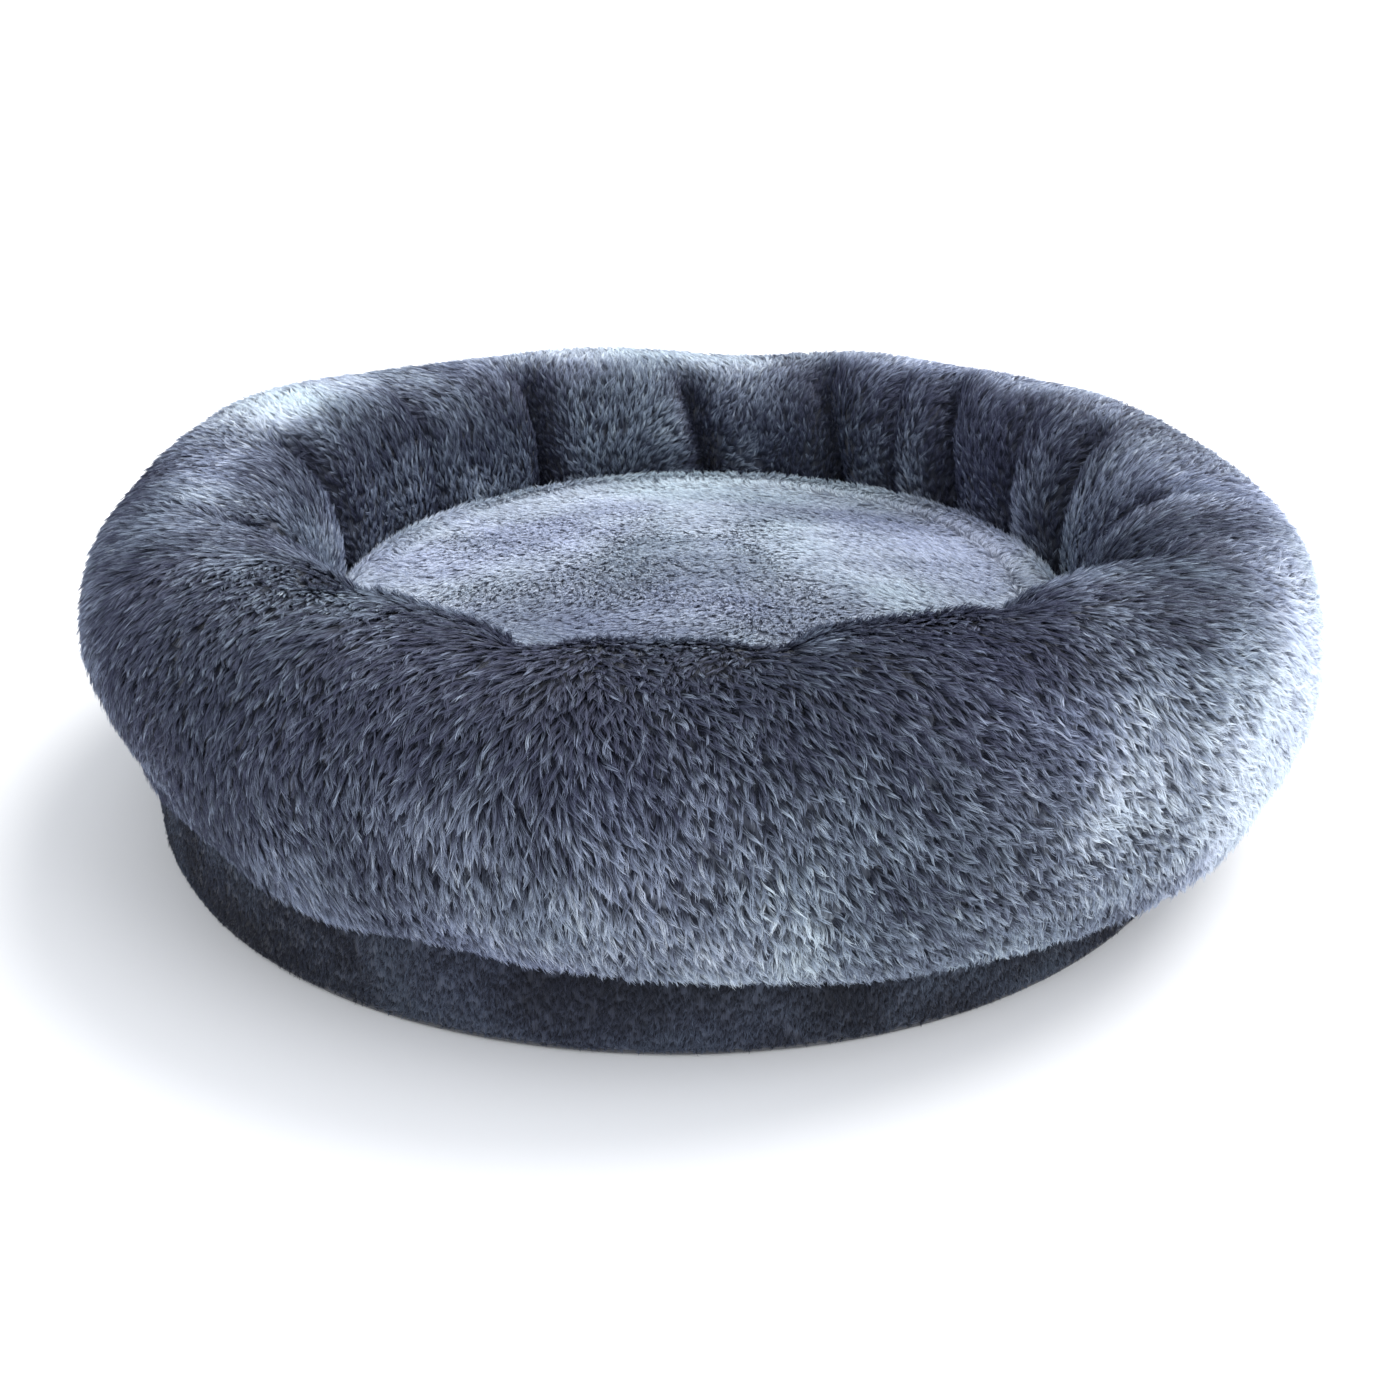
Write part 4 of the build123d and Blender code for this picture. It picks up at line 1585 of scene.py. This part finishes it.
def cup_profile(share, inset, top):
    """Radius and height along the cushion's lower half, from its middle, 0, out and up to top, 1."""
    foot = 20 * MM
    corner = foot - inset
    flat_length = cushion_radius - foot
    arc_length = corner * math.pi / 2
    wall_length = top - cushion_low.z - foot
    travelled = share * (flat_length + arc_length + wall_length)
    bend = np.clip((travelled - flat_length) / arc_length, 0, 1) * math.pi / 2
    radius = np.minimum(travelled, flat_length) + corner * np.sin(bend)
    height = cushion_low.z + foot - corner * np.cos(bend)
    height = height + np.clip(travelled - flat_length - arc_length, 0, None)
    return radius, height


def cup_points(count, inset, top, wrinkle, seed):
    """A square grid of points pressed into the cushion's lower half, slightly wrinkled."""
    x, y = disc_grid(count)
    share = np.hypot(x, y)
    around = np.arctan2(x, y)
    radius, height = cup_profile(share, inset, top)
    ring = round_axis(around, radius, height)
    crease = wrinkle * np.clip(layered_noise(ring, 0.035, SEED + seed, 3), -1.4, 1.4) - 1.4 * wrinkle
    upright = smooth_step(cushion_radius - 24 * MM, cushion_radius - 6 * MM, radius)
    radius = radius + crease * upright
    height = height - crease * (1 - upright) * 0.6
    return round_axis(around, radius, height)


def make_cushion_bottom():
    """The woven cup under the cushion: its flat underside and its short upright wall."""
    front = cup_points(180, 2.0 * MM, cushion_wall_high.z, 0.7 * MM, 141)
    back = cup_points(180, 0.2 * MM, cushion_wall_high.z, 0.7 * MM, 141)
    thing = shell_mesh("cushion_underside", front, back)
    x, y = disc_grid(180)
    reach = cushion_radius + 38 * MM
    add_cloth(thing, joined(x * reach, y * reach, 0 * x))
    finish_piece(thing, "cushion", "cushion_bottom_panel", "lining_cloth", LINING)
    foot = 20 * MM
    flat = cushion_radius - foot
    wall = cushion_wall_high.z - cushion_low.z - foot
    area = math.pi * flat**2 + 2 * math.pi * foot * (flat * math.pi / 2 + foot)
    area = area + 2 * math.pi * cushion_radius * wall
    side = 2 * math.sqrt(area / math.pi)  # across a disc with that area
    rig.sheet(thing, flat=(side, side), held="gathered", rests_on=["base_top"], area=area)


def make_cushion_filling(name, inset, node, slot, material, seed):
    """A stuffed shape inside the cushion: its lower half, and a crowned top under the plush."""
    count = 110
    shoulder = roll_low.z - 8 * MM - inset
    lower = cup_points(count, inset, shoulder, 0.5 * MM, seed)
    x, y = lower[..., 0], lower[..., 1]
    radius = np.hypot(x, y)
    under_roll = smooth_step(panel_radius - 4 * MM, cushion_radius - inset, radius)
    ceiling = cushion_height(np.clip(x, -1, 1), y) - plush_thickness * 0.5 - inset
    top = ceiling * (1 - under_roll) + (shoulder + 0.3 * MM) * under_roll
    top = np.maximum(top, lower[..., 2] + 0.2 * MM)
    thing = shell_mesh(name, joined(x, y, top), lower)
    add_cloth(thing, lower)
    finish_piece(thing, "cushion", node, slot, material)
    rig.padded(thing, fill=0.7)


def make_cushion():
    """The loose cushion: its plush face and roll, its woven underside, and its stuffed bag."""
    make_cushion_top()
    make_cushion_roll()
    make_cushion_bottom()
    make_cushion_filling("cushion_bag", 2.4 * MM, "cushion_inner_bag", "bag_cloth", BAG, 151)
    make_cushion_filling("cushion_fill", 3.6 * MM, "cushion_fibre", "fibre_fill", FIBRE, 151)


# ---------------------------------------------------------------- stage


def make_camera():
    """The camera, in front and above, aimed a little over the floor under the bed's middle."""
    camera = bpy.data.objects.new("camera", bpy.data.cameras.new("camera"))
    bpy.context.scene.collection.objects.link(camera)
    elevation = math.radians(25.66)
    distance = 2.713 * outer_radius
    aim = np.array([-0.003, 0.0, 0.066]) * outer_radius
    camera.location = aim + distance * np.array([0, -math.cos(elevation), math.sin(elevation)])
    camera.rotation_euler = (math.pi / 2 - elevation, 0, 0)
    camera.data.sensor_width = 36.0
    camera.data.lens = 39.28
    camera.data.clip_end = 200.0
    bpy.context.scene.camera = camera


def make_floor():
    """A plain pale floor, wide enough to fill every view."""
    half = 60.0
    corners = [(-half, -half, 0), (half, -half, 0), (half, half, 0), (-half, half, 0)]
    floor = make_mesh("floor", np.array(corners), np.array([[0, 1, 2, 3]]), smooth=False)
    material, _, shader = new_material("floor")
    shader.inputs["Base Color"].default_value = (0.86, 0.86, 0.87, 1)
    shader.inputs["Roughness"].default_value = 0.9
    floor.data.materials.append(material)
    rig.stage(floor)


def make_sun(name, azimuth, elevation, strength, spread, colour):
    """A soft distant light. Azimuth 0 shines from the front, and 90 from the right."""
    sun = bpy.data.objects.new(name, bpy.data.lights.new(name, "SUN"))
    bpy.context.scene.collection.objects.link(sun)
    sun.data.energy = strength
    sun.data.angle = math.radians(spread)
    sun.data.color = colour
    sun.rotation_euler = (math.radians(90 - elevation), 0, math.radians(azimuth))


def make_light():
    """Soft light from the back right, a fainter one from the right front, and a pale sky."""
    make_sun("key", 135, 50, 2.8, 40, (1.0, 0.99, 0.97))
    make_sun("side", 70, 35, 1.2, 50, (0.97, 0.98, 1.0))
    world = bpy.data.worlds.new("sky")
    world.use_nodes = True
    world.node_tree.nodes["Background"].inputs["Color"].default_value = (0.93, 0.96, 1.0, 1)
    world.node_tree.nodes["Background"].inputs["Strength"].default_value = 1.15
    bpy.context.scene.world = world
    bpy.context.scene.view_settings.view_transform = "Standard"


make_camera()
make_floor()
make_light()
make_bolster()
make_base_bottom()
make_base_top()
make_base_pad()
make_skirt()
make_seams()
make_gathering_tape()
make_label()
make_zip()
finish_metal()
make_cushion()

visual_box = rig.bounds()
with open("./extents.json", "w") as size_file:
    json.dump({"cad": [list(c) for c in cad_box], "visual": [list(c) for c in visual_box]}, size_file)
